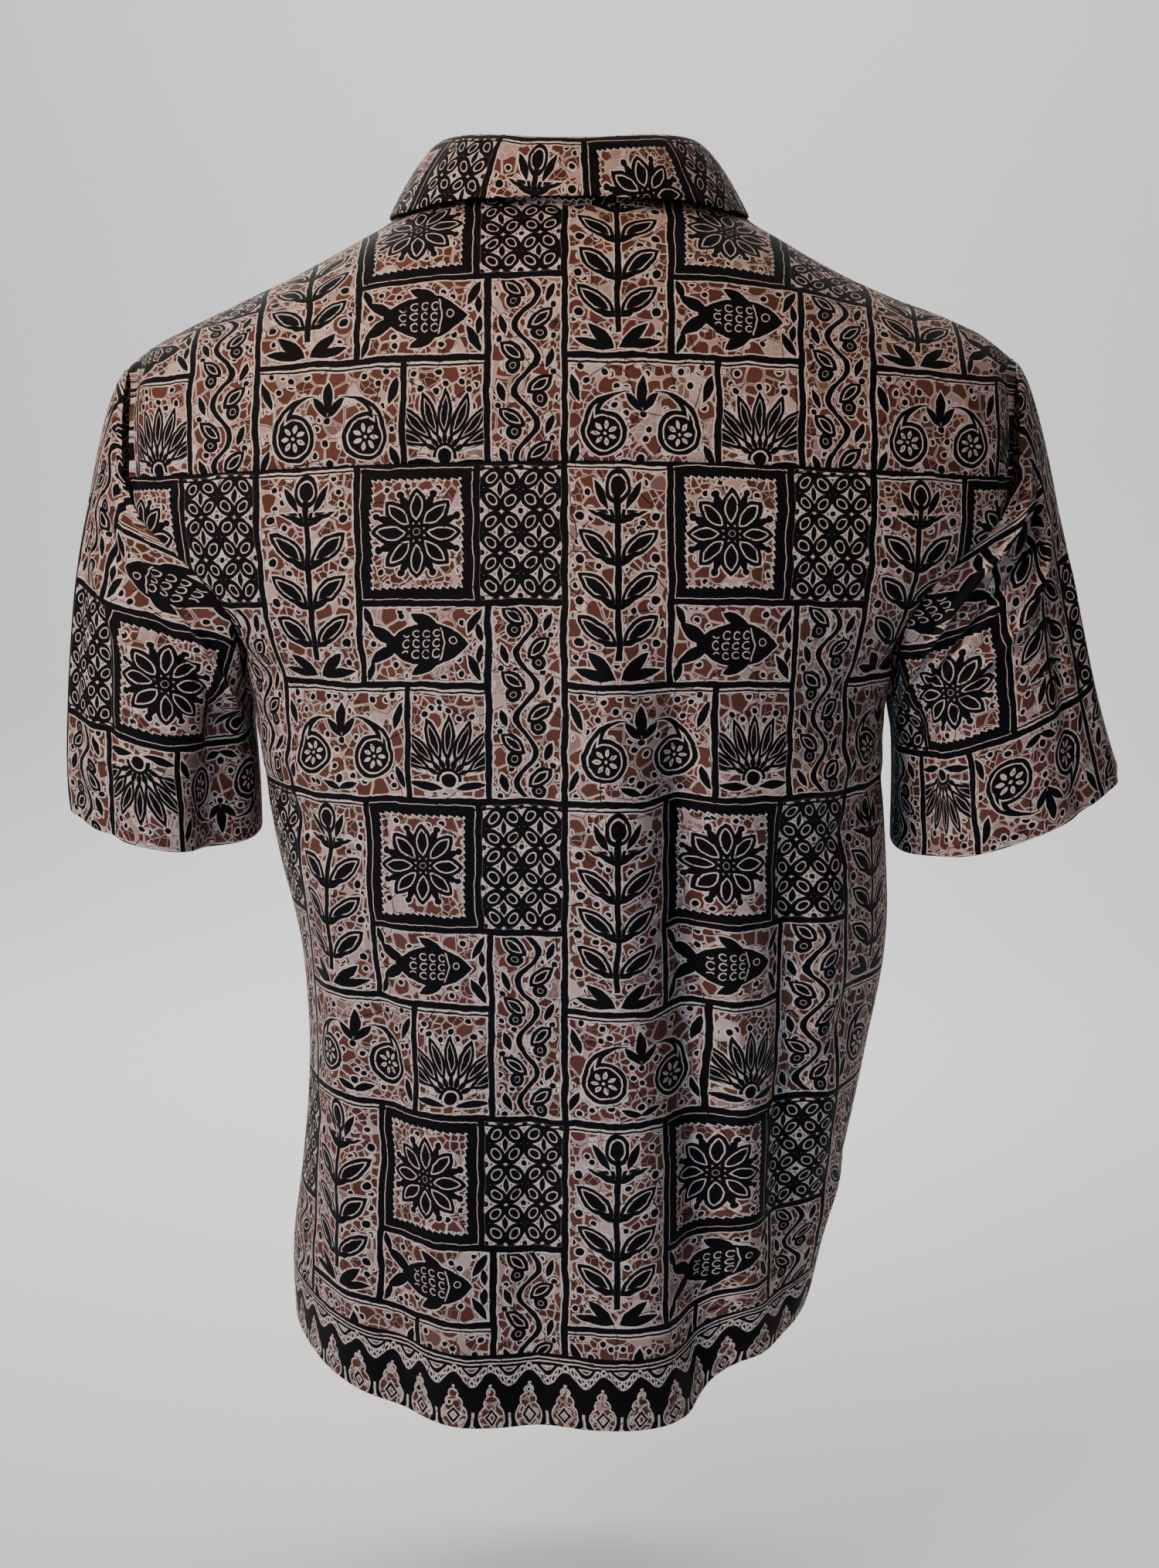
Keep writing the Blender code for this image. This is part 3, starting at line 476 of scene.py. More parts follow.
def unevenness(grid):
    flat = grid.reshape(-1, 3) * np.array(waveStretch)
    offset = np.zeros(len(flat))
    for scale, rise in clothWaves:
        offset += rise * np.array([noise.noise(Vector(point)) for point in flat * scale])
    return offset.reshape(grid.shape[:-1])


# How far apart the rows of points lie, and where the close ones lie beside an edge.
clothStep = 0.0031
closeSteps = np.array([0.0006, 0.0014, 0.0026, 0.0042])
pathSteps = 600


# Shares from 0 to 1 of a length, a step apart, and closer beside the edges in near.
def spread(length, near=("start", "end"), step=clothStep):
    close = closeSteps / length
    low = close[-1] if "start" in near else 0
    high = 1 - close[-1] if "end" in near else 1
    count = max(round((high - low) * length / step), 2)
    middle = np.linspace(low, high, count + 1)[1:-1]
    first = close if "start" in near else []
    last = 1 - close[::-1] if "end" in near else []
    return np.concatenate([[0], first, middle, last, [1]])


# The values from low to high that put a path's points at shares of its length.
def placesAlong(path, low, high, shares):
    fine = np.linspace(low, high, pathSteps)
    steps = np.linalg.norm(np.diff(path(fine), axis=0), axis=1)
    lengths = np.concatenate([[0], np.cumsum(steps)])
    return np.interp(shares * lengths[-1], lengths, fine)


# The length along the cloth from the grid's first row or column to each point.
def runs(grid, axis):
    steps = np.linalg.norm(np.diff(grid, axis=axis), axis=-1)
    return np.insert(np.cumsum(steps, axis=axis), 0, 0, axis=axis)


def outward(grid, wraps=False):
    along = np.gradient(grid, axis=0)
    if wraps:
        along[0] = along[-1] = (grid[1] - grid[-2]) / 2
    return unit(np.cross(along, np.gradient(grid, axis=1)))


# How far each point is from each edge of its panel, along the cloth.
def edgeRuns(grid):
    across, up = runs(grid, 0), runs(grid, 1)
    return {"start": across, "end": across[-1:] - across, "bottom": up, "top": up[:, -1:] - up}


seamLook = {"groove": 0.0022, "pucker": 0.00016, "puckerReach": 0.006, "ripple": 0.0021, "drift": 2.2,
            "driftRipple": 0.0107}


# Seams as soft grooves, a little puckered. seams gives each edge how far it goes in.
def seamOffset(grid, seams):
    look = seamLook
    gaps = edgeRuns(grid)
    offset = np.zeros(grid.shape[:-1])
    for edge, depth in seams.items():
        beside = gaps["bottom"] if edge in ("start", "end") else gaps["start"]
        waves = np.sin(beside / look["ripple"] + look["drift"] * np.sin(beside / look["driftRipple"]))
        pucker = waves * np.exp(-gaps[edge] / look["puckerReach"])
        offset += pucker * look["pucker"] - depth * np.exp(-(gaps[edge] / look["groove"]) ** 2)
    return offset


# The grid with its folds, its seams and the unevenness of its cloth.
def shaped(grid, folds, seams):
    offset = folds + unevenness(grid) + seamOffset(grid, seams)
    return grid + outward(grid) * offset[..., None]


# A thin shell through the points of a grid. Its UV map, flat, is the cut cloth in metres.
def clothPiece(name, grid, flat, material, thick=clothThick, wraps=False):
    across, up = grid.shape[0] - 1, grid.shape[1] - 1
    mesh = bpy.data.meshes.new(name)
    shape = bmesh.new()
    bmesh.ops.create_grid(shape, x_segments=across, y_segments=up, size=1)
    shape.to_mesh(mesh)
    place = np.empty(len(mesh.vertices) * 3, dtype=np.float32)
    mesh.vertices.foreach_get("co", place)
    place = place.reshape(-1, 3)
    i = np.rint((place[:, 0] + 1) / 2 * across).astype(int)
    j = np.rint((place[:, 1] + 1) / 2 * up).astype(int)
    mesh.vertices.foreach_set("co", grid[i, j].astype(np.float32).ravel())
    corner = np.empty(len(mesh.loops), dtype=np.int32)
    mesh.loops.foreach_get("vertex_index", corner)
    chart = mesh.uv_layers.new(name="cut")
    chart.data.foreach_set("uv", flat[i[corner], j[corner]].astype(np.float32).ravel())
    if wraps:
        shape.clear()
        shape.from_mesh(mesh)
        ends = [v for v in shape.verts if v.is_boundary]
        bmesh.ops.remove_doubles(shape, verts=ends, dist=1e-5)
        shape.to_mesh(mesh)
    shape.free()
    mesh.shade_smooth()
    mesh.materials.append(material)
    piece = sceneObject(mesh)
    shell = piece.modifiers.new("thickness", "SOLIDIFY")
    shell.thickness = thick
    shell.offset = -1
    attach(piece, "root")
    return piece


# The area of a grid of points, in square metres.
def cutArea(grid):
    along, up = grid[1:, :-1] - grid[:-1, :-1], grid[:-1, 1:] - grid[:-1, :-1]
    back, down = grid[:-1, 1:] - grid[1:, 1:], grid[1:, :-1] - grid[1:, 1:]
    both = np.linalg.norm([np.cross(along, up), np.cross(back, down)], axis=-1)
    return float(both.sum() / 2)


# How deep the hems are turned up along a panel's edges, and the gap inside them.
hemDepths = {"bottom": 0.012, "top": 0.024}
hemGap = 0.0002
cuts = {}


# The hem turned up inside a panel, as a strip of the same cloth. A cuff's hem runs round it.
def hemStrip(node, grid, flat, material, edge):
    wraps = edge == "top"
    rows = edgeRuns(grid)[edge][len(grid) // 2] <= hemDepths[edge] + clothStep / 2
    inside = grid[:, rows] - outward(grid, wraps)[:, rows] * (clothThick + hemGap)
    if wraps:
        inside[-1] = inside[0]
    strip = clothPiece(node + "_hem", inside, flat[:, rows], material, wraps=wraps)
    return strip


# A panel of cloth and its hem, named after the solid they stand in for, which is hidden. Keeps what its flat
# cut measures.
def makePanel(node, grid, flat, material, hem=None, thick=clothThick):
    piece = clothPiece(node + "_cloth", grid, flat, material, thick, wraps=hem == "top")
    hems = [hemStrip(node, grid, flat, material, hem)] if hem else []
    width, height = [float(span) for span in np.ptp(flat.reshape(-1, 2), axis=0)]
    area = min(cutArea(grid), width * height)
    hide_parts(node)
    cuts[node] = (width, height, area)


# About how long each part of the cloth is, for spacing its rows of points.
spans = {"side": 0.40, "armhole": 0.17, "back": 0.58, "yokeBack": 0.56, "yokeDepth": 0.185, "front": 0.32,
         "frontTop": 0.14, "sleeve": 0.24, "stand": 0.46, "standHeight": 0.031, "leaf": 0.60,
         "leafDepth": 0.06}


# How far the grooves of the seams go in, by the edges of each panel.
seamDepths = {
    "back":        {"start": 0.0010, "end": 0.0010, "top": 0.0007},
    "yoke":        {"start": 0.0001, "end": 0.0001, "bottom": 0.0001, "top": 0.0004},
    "front_left":  {"end": 0.0010, "top": 0.0009},
    "front_right": {"start": 0.0010, "top": 0.0009},
    "sleeve":      {"bottom": 0.0009},
}
yokeSeamLoss = 0.009  # how much of the print the seam between back and yoke takes up
yokePathPoints = 25
yokeFoldFade = 3  # how fast the folds of the back grow from the top of the shoulders


# The heights of a body panel's rows, closest beside the hem and the yoke.
def rowHeights():
    def edge(height):
        return wall("back", 1.0, height)

    side = spread(spans["side"], ("start",)) * underarm
    arm = placesAlong(edge, underarm, 1.0, spread(spans["armhole"], ("end",)))
    return np.concatenate([side, arm[1:]])


# The length down the middle of the cloth from the hem to each row.
def centreRuns(half, heights):
    return runs(wall(half, 0.0, heights), 0)


def sortedPair(x, values):
    order = np.argsort(x)
    return x[order], values[order]


# The length round each row from the middle of the body.
def centredRuns(grid):
    length = runs(grid, 0)
    middle = [np.interp(0, *sortedPair(grid[:, row, 0], length[:, row])) for row in range(grid.shape[1])]
    return length - np.array(middle)[None, :]


def makeBack():
    def middleRow(across):
        return wall("back", across, underarm)

    heights = rowHeights()
    across = placesAlong(middleRow, 1.0, -1.0, spread(spans["back"]))
    grid = wall("back", across[:, None], heights[None, :])
    flat = np.stack([centredRuns(grid), np.broadcast_to(centreRuns("back", heights), grid.shape[:2])], -1)
    grid = shaped(grid, creaseOffset(grid[..., [0, 2]], bodyCreases["back"]), seamDepths["back"])
    makePanel("back", grid, flat, borderedBatik, "bottom")
    return grid, flat


# The yoke's cut: straight on from the back's top edge, and over the shoulders to the front.
def yokeFlat(x, turn, backFlat, backGrid):
    rowX, rowU = sortedPair(backGrid[:, -1, 0], backFlat[:, -1, 0])
    share = np.linspace(0, 1, yokePathPoints)
    path = signedRoof(x[..., None], 1 + (turn[..., None] - 1) * share)
    steps = np.linalg.norm(np.diff(path, axis=-2), axis=-1)
    v = backFlat[0, -1, 1] + yokeSeamLoss + steps.sum(axis=-1)
    return np.stack([np.interp(x, rowX, rowU), v], axis=-1)


# The yoke's outer edge as (x, turn), from the right front seam round the back to the left one.
def yokeOutline():
    sides = {}
    for sign in (-1, 1):
        def edge(turn, sign=sign):
            return signedRoof(np.full_like(turn, shoulderX(sign)), turn)

        turns = placesAlong(edge, -seamTurn(sign), 1.0, spread(spans["armhole"]))
        sides[sign] = [(shoulderX(sign), turn) for turn in turns]

    def backEdge(across):
        return wall("back", across, 1.0)

    across = placesAlong(backEdge, -1.0, 1.0, spread(spans["yokeBack"]))[1:-1]
    back = [(x, 1.0) for x in wall("back", across, 1.0)[:, 0]]
    return np.array(sides[-1] + back + sides[1][::-1])


def makeYoke(backGrid, backFlat):
    outer = yokeOutline()
    neckX, neckY = neckPlan(np.linspace(-yokeNeckTurn, yokeNeckTurn, len(outer)))
    inner = np.stack([neckX, signedTurn(neckX, neckY)], axis=-1)
    share = spread(spans["yokeDepth"])[None, :, None]
    place = inner[:, None, :] * (1 - share) + outer[:, None, :] * share
    grid = signedRoof(place[..., 0], place[..., 1])
    flat = yokeFlat(place[..., 0], place[..., 1], backFlat, backGrid)
    behind = soften(place[..., 1] * yokeFoldFade)
    folds = creaseOffset(grid[..., [0, 2]], bodyCreases["back"]) * behind
    grid = shaped(grid, folds, seamDepths["yoke"])
    makePanel("yoke", grid, flat, batik)
    return grid


# How high a front goes at this x: the neck seam, then the seam with the yoke.
def frontTop(x, sign):
    neckY = neckFrontY * np.sqrt(np.clip(1 - (x / neckHalfWidth) ** 2, 0, 1))
    neckEnd = float(roofTurn("front", np.array(sign * yokeNeckX), yokeFrontY))
    share = (np.abs(x) - yokeNeckX) / (abs(shoulderX(sign)) - yokeNeckX)
    onSeam = neckEnd + share * (seamTurn(sign) - neckEnd)
    return np.where(np.abs(x) < yokeNeckX, roofTurn("front", x, neckY), onSeam)


# A front, whose middle edge lies half the lap past the centre. lap moves it under the other.
def makeFront(name, sign, lap):
    def middleRow(across):
        return wall("front", across, underarm)

    heights = rowHeights()
    edge = float(acrossAt("front", np.array(-sign * lapWidth / 2)))
    across = placesAlong(middleRow, edge, float(sign), spread(spans["front"]))
    if sign < 0:
        across = across[::-1]
    low = wall("front", across[:, None], heights[None, :])
    x = low[:, -1, 0]
    climb = spread(spans["frontTop"], ("end",))[None, 1:]
    top = frontTop(x, sign)[:, None]
    high = roof("front", x[:, None], 1 - climb * (1 - top))
    grid = np.concatenate([low, high], axis=1)
    u = centredRuns(low)
    v = centreRuns("front", heights)
    above = runs(np.concatenate([low[:, -1:], high], axis=1), 1)[:, 1:]
    flat = np.stack([np.concatenate([u, np.repeat(u[:, -1:], high.shape[1], axis=1)], axis=1),
                     np.concatenate([np.broadcast_to(v, u.shape), v[-1] + above], axis=1)], axis=-1)
    beside = np.clip((np.abs(x) - lapWidth * lapFadeStart) / lapWidth, 0, 1)
    under = -lap * (1 - soften(np.where(x * sign < 0, 0, beside)))
    folds = creaseOffset(grid[..., [0, 2]], bodyCreases["front"]) + under[:, None]
    grid = shaped(grid, folds, seamDepths[name])
    makePanel(name, grid, flat, borderedBatik, "bottom")
    return grid


# Each cuff's outer and inner end as (x, z), how deep it is behind and in front, how far it tilts,
# and the way the cloth hangs into it.
sleeves = {
    "left":  {"outer": (0.2950, -0.345), "inner": (0.1845, -0.366), "back": 0.066, "front": 0.070,
              "tilt": 0.010, "lean": (-0.08, -0.06, -1.0)},
    "right": {"outer": (0.3260, -0.326), "inner": (0.1925, -0.373), "back": 0.067, "front": 0.070,
              "tilt": 0.012, "lean": (0.40, -0.05, -1.0)},
}

# How a sleeve leaves the armhole and comes to its cuff, how round the cuff is, where its folds
# start, and how fast the cloth's unevenness grows from the underarm seam.
sleeveForm = {"startPull": 0.085, "endPull": 0.22, "underarmWay": (0.16, 0.0, -1.0), "standOff": 0.0007,
              "cuffRounding": 0.9, "foldStart": 0.17, "calm": 4}
sleeveCutV = 1.0  # where the cuff lies on the length of printed cloth
armholeForm = {"wallStep": 0.04, "roofStep": 0.008, "wallPoints": 60, "behindPoints": 50, "aheadPoints": 40}


# The armhole from the underarm up the back, over and down the front, and the way out of it.
def armhole(sign):
    heights = np.linspace(underarm, 1.0, armholeForm["wallPoints"])
    edgeX = shoulderX(sign)
    near = sign * (1 - armholeForm["wallStep"])
    seam = -seamTurn(sign)
    turns = np.concatenate([np.linspace(1, seam, armholeForm["behindPoints"])[1:],
                            np.linspace(seam, -1, armholeForm["aheadPoints"])[1:]])
    back, backInside = wall("back", sign, heights), wall("back", near, heights)
    top = signedRoof(np.full_like(turns, edgeX), turns)
    topInside = signedRoof(np.full_like(turns, edgeX - sign * armholeForm["roofStep"]), turns)
    falling = heights[::-1][1:]
    front, frontInside = wall("front", sign, falling), wall("front", near, falling)
    points = np.concatenate([back, top, front])
    return points, unit(points - np.concatenate([backInside, topInside, frontInside]))


def cuff(side, sign, along):
    values = sleeves[side]
    outer = np.array(values["outer"])
    inner = np.array(values["inner"])
    swing = np.cos(along * 2 * math.pi)
    swing = np.sign(swing) * np.abs(swing) ** sleeveForm["cuffRounding"]
    sideways = np.sin(along * 2 * math.pi)
    flat = (outer + inner) / 2 + (inner - outer) / 2 * swing[:, None]
    depth = np.where(sideways > 0, values["back"], values["front"]) * sideways
    return np.stack([sign * flat[:, 0], depth, flat[:, 1] - values["tilt"] * sideways], axis=-1)


def resampled(points, shares, at):
    return np.stack([np.interp(at, shares, points[:, k]) for k in range(points.shape[1])], axis=-1)


# The points of a sleeve from its armhole to its cuff, smooth, and where each lies: the turn round
# from the underarm, and the share of the way down.
def sleeveGrid(side, sign):
    edge, edgeWays = armhole(sign)
    steps = np.linalg.norm(np.diff(edge, axis=0), axis=1)
    shares = np.concatenate([[0], np.cumsum(steps)]) / steps.sum()
    along = spread(steps.sum())
    points, ways = resampled(edge, shares, along), resampled(edgeWays, shares, along)
    low = np.clip(np.cos(along * 2 * math.pi), 0, 1)[:, None]
    edgeWay = np.gradient(points, along, axis=0)
    edgeWay[0] = edgeWay[-1] = points[1] - points[-2]
    facing = unit(np.cross(edgeWay, ways) * sign)
    mirror = np.array([sign, 1, 1])
    leave = unit(ways * (1 - low) + np.array(sleeveForm["underarmWay"]) * mirror * low)
    start = points + facing * low * sleeveForm["standOff"] + leave * seamGap
    start[-1] = start[0]
    lean = np.array(sleeves[side]["lean"]) * mirror
    outerShare = (1 - np.cos(along * 2 * math.pi))[:, None] / 2
    arrive = unit(lean * np.array([1, 0, 0]) * outerShare + lean * np.array([0, 1, 1]))
    share = spread(spans["sleeve"])[None, :, None]
    grid = (start[:, None] * (1 + 2 * share) * (1 - share) ** 2
            + leave[:, None] * sleeveForm["startPull"] * share * (1 - share) ** 2
            + cuff(side, sign, along)[:, None] * share ** 2 * (3 - 2 * share)
            - arrive[:, None] * sleeveForm["endPull"] * share ** 2 * (1 - share))
    return grid, np.stack(np.broadcast_arrays(along[:, None], share[..., 0]), axis=-1)


def makeSleeve(side, sign):
    grid, place = sleeveGrid(side, sign)
    along, share = place[..., 0], place[..., 1]
    folds = creaseOffset(place, sleeveCreases[side]) * np.clip(share / sleeveForm["foldStart"], 0, 1)
    calm = np.clip(np.sin(along * math.pi) * sleeveForm["calm"], 0, 1)
    offset = folds + unevenness(grid) * calm + seamOffset(grid, seamDepths["sleeve"])
    grid = grid + outward(grid, wraps=True) * (offset * sign)[..., None]
    grid[-1] = grid[0]
    down = runs(grid, 1)
    flat = np.stack([along * runs(grid, 0)[-1, -1], sleeveCutV - (down[:, -1:] - down)], axis=-1)
    if sign < 0:
        grid, flat = grid[::-1], flat[::-1] * np.array([-1, 1])
    makePanel("sleeve_" + side, grid, flat, batik, "top")
    return grid


# The collar's stand: its height at the back, the sides and the front, and its top in plan.
standHeight = {"back": 0.0325, "side": 0.0265, "front": 0.0270}
standRim = {"halfWidth": 0.0700, "backY": 0.0625, "frontY": -0.0680}

# The leaf's lower edge by its turn from the back: where it lies, and how far off the shirt.
leafColumns = ("turn", "x", "y", "lift")
leafTable = {
    "nape":      (0, 0.000, 0.0815, 0.0150),
    "napeSide":  (28, 0.046, 0.0760, 0.0135),
    "corner":    (56, 0.086, 0.0500, 0.0055),
    "side":      (88, 0.103, 0.0030, 0.0035),
    "frontSide": (122, 0.098, -0.0430, 0.0035),
    "fall":      (148, 0.082, -0.0790, 0.0035),
    "point":     (171, 0.056, -0.1060, 0.0045),
}

# How the leaf rolls up and out over the stand and how its rows bunch there, how far the stand's foot
# is tucked in and its lap steps, and how far apart their rows of points lie.
leafForm = {"rollUp": 0.0080, "rollOut": 0.0120, "bunching": 1.5, "seamLift": 1.5, "inset": 0.0015}
standForm = {"tuck": 0.0016, "lapStep": 0.0021}
collarSteps = {"along": 0.0026, "standUp": 0.0024, "leafDown": 0.0016}

# Where the collar's cuts lie on the length of printed cloth, clear of the body's.
collarCutV = {"stand": 1.30, "leaf": 1.70}


def standTop(turn):
    angle = np.radians(turn)
    depth = np.where(np.cos(angle) > 0, standRim["backY"], -standRim["frontY"])
    middle = np.where(np.cos(angle) > 0, standHeight["back"], standHeight["front"])
    height = standHeight["side"] + (middle - standHeight["side"]) * np.cos(angle) ** 2
    z = neckSeam(turn)[..., 2] + height
    return np.stack([standRim["halfWidth"] * np.sin(angle), depth * np.cos(angle), z], axis=-1)


# The ways out from the neck's middle, in plan, at turns from the back.
def radialWays(turn):
    angle = np.radians(turn)
    return np.stack([np.sin(angle), np.cos(angle), np.zeros_like(turn)], axis=-1)


def makeStand():
    last = 180 + lapTurn
    turn = placesAlong(neckSeam, last, -last, spread(spans["stand"], step=collarSteps["along"]))
    foot, top = neckSeam(turn), standTop(turn)
    share = spread(spans["standHeight"], step=collarSteps["standUp"])[None, :, None]
    grid = foot[:, None, :] * (1 - share) + top[:, None, :] * share
    over = np.clip((np.abs(turn) - 180) / lapTurn + 2, 0, 1) * np.sign(turn)
    halfStep = standForm["lapStep"] / 2
    grid = grid + radialWays(turn)[:, None, :] * (over * halfStep)[:, None, None]
    onTop = np.clip(over, 0, 1)
    lift = halfStep * onTop - standForm["tuck"] * (1 - onTop)
    grid = grid + np.array([0, 0, 1]) * (1 - share) * lift[:, None, None]
    flat = np.stack([runs(grid, 0), runs(grid, 1) + collarCutV["stand"]], axis=-1)
    makePanel("collar_stand", grid, flat, batik, thick=collarThick)
    return grid


def leafEdge(turn):
    knots = column(leafTable, leafColumns, "turn")
    x, y, lift = [smooth(knots, column(leafTable, leafColumns, name), np.abs(turn))
                  for name in leafColumns[1:]]
    x = x * np.sign(turn)
    return onShoulders(x, y) + np.array([0, 0, 1]) * lift[..., None]


def makeLeaf():
    end = leafTable["point"][0]
    turn = placesAlong(leafEdge, -end, end, spread(spans["leaf"], step=collarSteps["along"]))
    radial = radialWays(turn)
    start = standTop(turn) - radial * leafForm["inset"] + np.array([0, 0, seamGap * leafForm["seamLift"]])
    up = start + np.array([0, 0, leafForm["rollUp"]])
    out = up + radial * leafForm["rollOut"]
    rows = spread(spans["leafDepth"], ("end",), step=collarSteps["leafDown"])
    share = (rows ** leafForm["bunching"])[None, :, None]
    rest = 1 - share
    grid = (start[:, None] * rest ** 3 + up[:, None] * 3 * rest ** 2 * share
            + out[:, None] * 3 * rest * share ** 2 + leafEdge(turn)[:, None] * share ** 3)
    length = runs(grid, 0)[:, -1:]
    flat = np.stack([-np.broadcast_to(length, grid.shape[:2]), collarCutV["leaf"] - runs(grid, 1)], axis=-1)
    makePanel("collar_leaf", grid, flat, batik, thick=collarThick)
    return grid


# The print is drawn in millimetres on the cut cloth. Each black shape is a distance: under 0 inside
# its edge and over 0 outside. The lowest of them all is the distance to the nearest black edge, and
# the brown pebbles of the ground keep clear of that edge as wax keeps the dye clear.
dyes = {
    "tan": "#BDA097",
    "tanDark": "#94766E",
    "brown": "#613A30",
    "brownDark": "#48281F",
    "black": "#08070B",
    "pale": "#D3C0B7",
}


# A colour as the shader needs it, from its sRGB hex code.
def linear(code):
    parts = [int(code[k:k + 2], 16) / 255 for k in (1, 3, 5)]
    return tuple(v / 12.92 if v <= 0.04045 else ((v + 0.055) / 1.055) ** 2.4 for v in parts) + (1.0,)


# What one socket gives at each point of the cloth. Sums with signals add the nodes for them.
class Signal:
    def __init__(self, socket):
        self.socket = socket

    def __add__(self, other):
        return number("ADD", self, other)

    def __sub__(self, other):
        return number("SUBTRACT", self, other)

    def __rsub__(self, other):
        return number("SUBTRACT", other, self)

    def __mul__(self, other):
        return number("MULTIPLY", self, other)

    def __neg__(self):
        return number("MULTIPLY", self, -1.0)


# Adds a node with its settings and inputs, and gives the signal of one of its outputs. Without a
# tree it joins the one that its inputs come from.
def addNode(kind, inputs, output=0, tree=None, **settings):
    tree = tree or next(value.socket.id_data for value in inputs.values() if isinstance(value, Signal))
    node = tree.nodes.new(kind)
    for name, value in settings.items():
        setattr(node, name, value)
    for place, value in inputs.items():
        if isinstance(value, Signal):
            tree.links.new(value.socket, node.inputs[place])
        else:
            node.inputs[place].default_value = value
    return Signal(node.outputs[output])


def number(operation, *values):
    return addNode("ShaderNodeMath", dict(enumerate(values)), operation=operation)


def vector(operation, *values):
    output = "Value" if operation in ("LENGTH", "DISTANCE") else "Vector"
    return addNode("ShaderNodeVectorMath", dict(enumerate(values)), output, operation=operation)


def folded(operation, values):
    result = values[0]
    for value in values[1:]:
        result = number(operation, result, value)
    return result


def lowest(*values):
    return folded("MINIMUM", values)


def highest(*values):
    return folded("MAXIMUM", values)


def size(value):
    return number("ABSOLUTE", value)


# The x and y of a place.
def apart(place):
    node = addNode("ShaderNodeSeparateXYZ", {0: place}).socket.node
    return Signal(node.outputs[0]), Signal(node.outputs[1])


def together(x, y):
    return addNode("ShaderNodeCombineXYZ", {0: x, 1: y})


# 1 where the distance is under 0, and 0 outside, with a soft edge.
def mask(distance, blur=0.14):
    return addNode("ShaderNodeMapRange",
                   {"Value": distance, "From Min": -blur, "From Max": blur, "To Min": 1.0, "To Max": 0.0})


# The distances on a pattern of cells, so many to a unit, that stray from a square grid.
def cells(place, scale, stray, **settings):
    return addNode("ShaderNodeTexVoronoi", {"Vector": place, "Scale": scale, "Randomness": stray},
                   "Distance", voronoi_dimensions="2D", **settings)


def cellEdges(place, scale, stray):
    return cells(place, scale, stray, feature="DISTANCE_TO_EDGE")


# Soft clouds, so many millimetres across, as two signals from 0 to 1 in one.
def clouds(place, size):
    return addNode("ShaderNodeTexNoise", {"Vector": place, "Scale": 1 / size, "Detail": 1.0}, "Color",
                   noise_dimensions="2D")


# A mix of two colours, each a hex code or a signal.
def blend(share, first, second):
    first, second = [linear(value) if isinstance(value, str) else value for value in (first, second)]
    return addNode("ShaderNodeMix", {"Factor": share, 6: first, 7: second}, 2, data_type="RGBA")


# The place measured from (x, y), turned by so many degrees.
def seenFrom(place, x, y, turn=0.0, scale=(1, 1, 1)):
    return addNode("ShaderNodeMapping",
                   {"Vector": place, "Location": (x, y, 0), "Rotation": (0, 0, math.radians(turn)),
                    "Scale": scale}, vector_type="TEXTURE")


# Both halves as one: x never under 0.
def mirrored(place):
    return vector("MAXIMUM", place, vector("MULTIPLY", place, (-1, 1, 1)))


# The same across the x axis: y never under 0.
def mirroredUp(place):
    return vector("MAXIMUM", place, vector("MULTIPLY", place, (1, -1, 1)))


# Repeats the place every so many millimetres, measured from the middle of each repeat.
def repeated(place, width, height):
    return vector("WRAP", place, (width / 2, height / 2, 1), (-width / 2, -height / 2, -1))


# Turns each of count equal slices round the middle onto the x axis.
def spokes(place, count):
    x, y = apart(place)
    angle = number("ARCTAN2", y, x)
    within = number("WRAP", angle, math.pi / count, -math.pi / count)
    return addNode("ShaderNodeVectorRotate", {"Vector": place, "Angle": within - angle},
                   rotation_type="Z_AXIS")


def disc(place, x, y, radius):
    return vector("DISTANCE", place, (x, y, 0)) - radius


def ring(place, x, y, radius, half):
    return size(disc(place, x, y, radius)) - half


# A leaf with two pointed ends, by its middle, its direction, and its half length and width.
def leaf(place, x, y, turn, length, width):
    bow = (length ** 2 + width ** 2) / (2 * width)
    own = vector("ABSOLUTE", seenFrom(place, x, y, turn))
    return vector("DISTANCE", own, (0, width - bow, 0)) - bow


def oval(place, x, y, turn, length, width):
    own = seenFrom(place, x, y, turn, (length, width, 1))
    return number("MULTIPLY_ADD", vector("LENGTH", own), width, -width)


# The shape with a pale line drawn inside its edge.
def inlined(shape, depth=1.9, half=0.9):
    return highest(shape, half - size(shape + depth))


# The repeat, and its compartments by left, bottom, right and top. Each motif is drawn in its own
# millimetres from the middle of its compartment.
repeatWidth = 172.0
repeatHeight = 188.0
compartments = {
    "sprig":   (0, 66, 58, 188),
    "star":    (58, 112, 124, 188),
    "fish":    (58, 66, 130, 112),
    "kawung":  (124, 112, 172, 188),
    "paisley": (0, 0, 84, 66),
    "fan":     (84, 0, 130, 66),
    "vine":    (130, 0, 172, 112),
}


# The place measured from the middle of a compartment.
def insideOf(place, name):
    left, bottom, right, top = compartments[name]
    return vector("SUBTRACT", place, ((left + right) / 2, (bottom + top) / 2, 0))


# The distance to a compartment's edge, from a place measured from its middle.
def edgeOf(own, name):
    left, bottom, right, top = compartments[name]
    corner = ((right - left) / 2, (top - bottom) / 2, 0)
    return highest(*apart(vector("SUBTRACT", vector("ABSOLUTE", own), corner)))


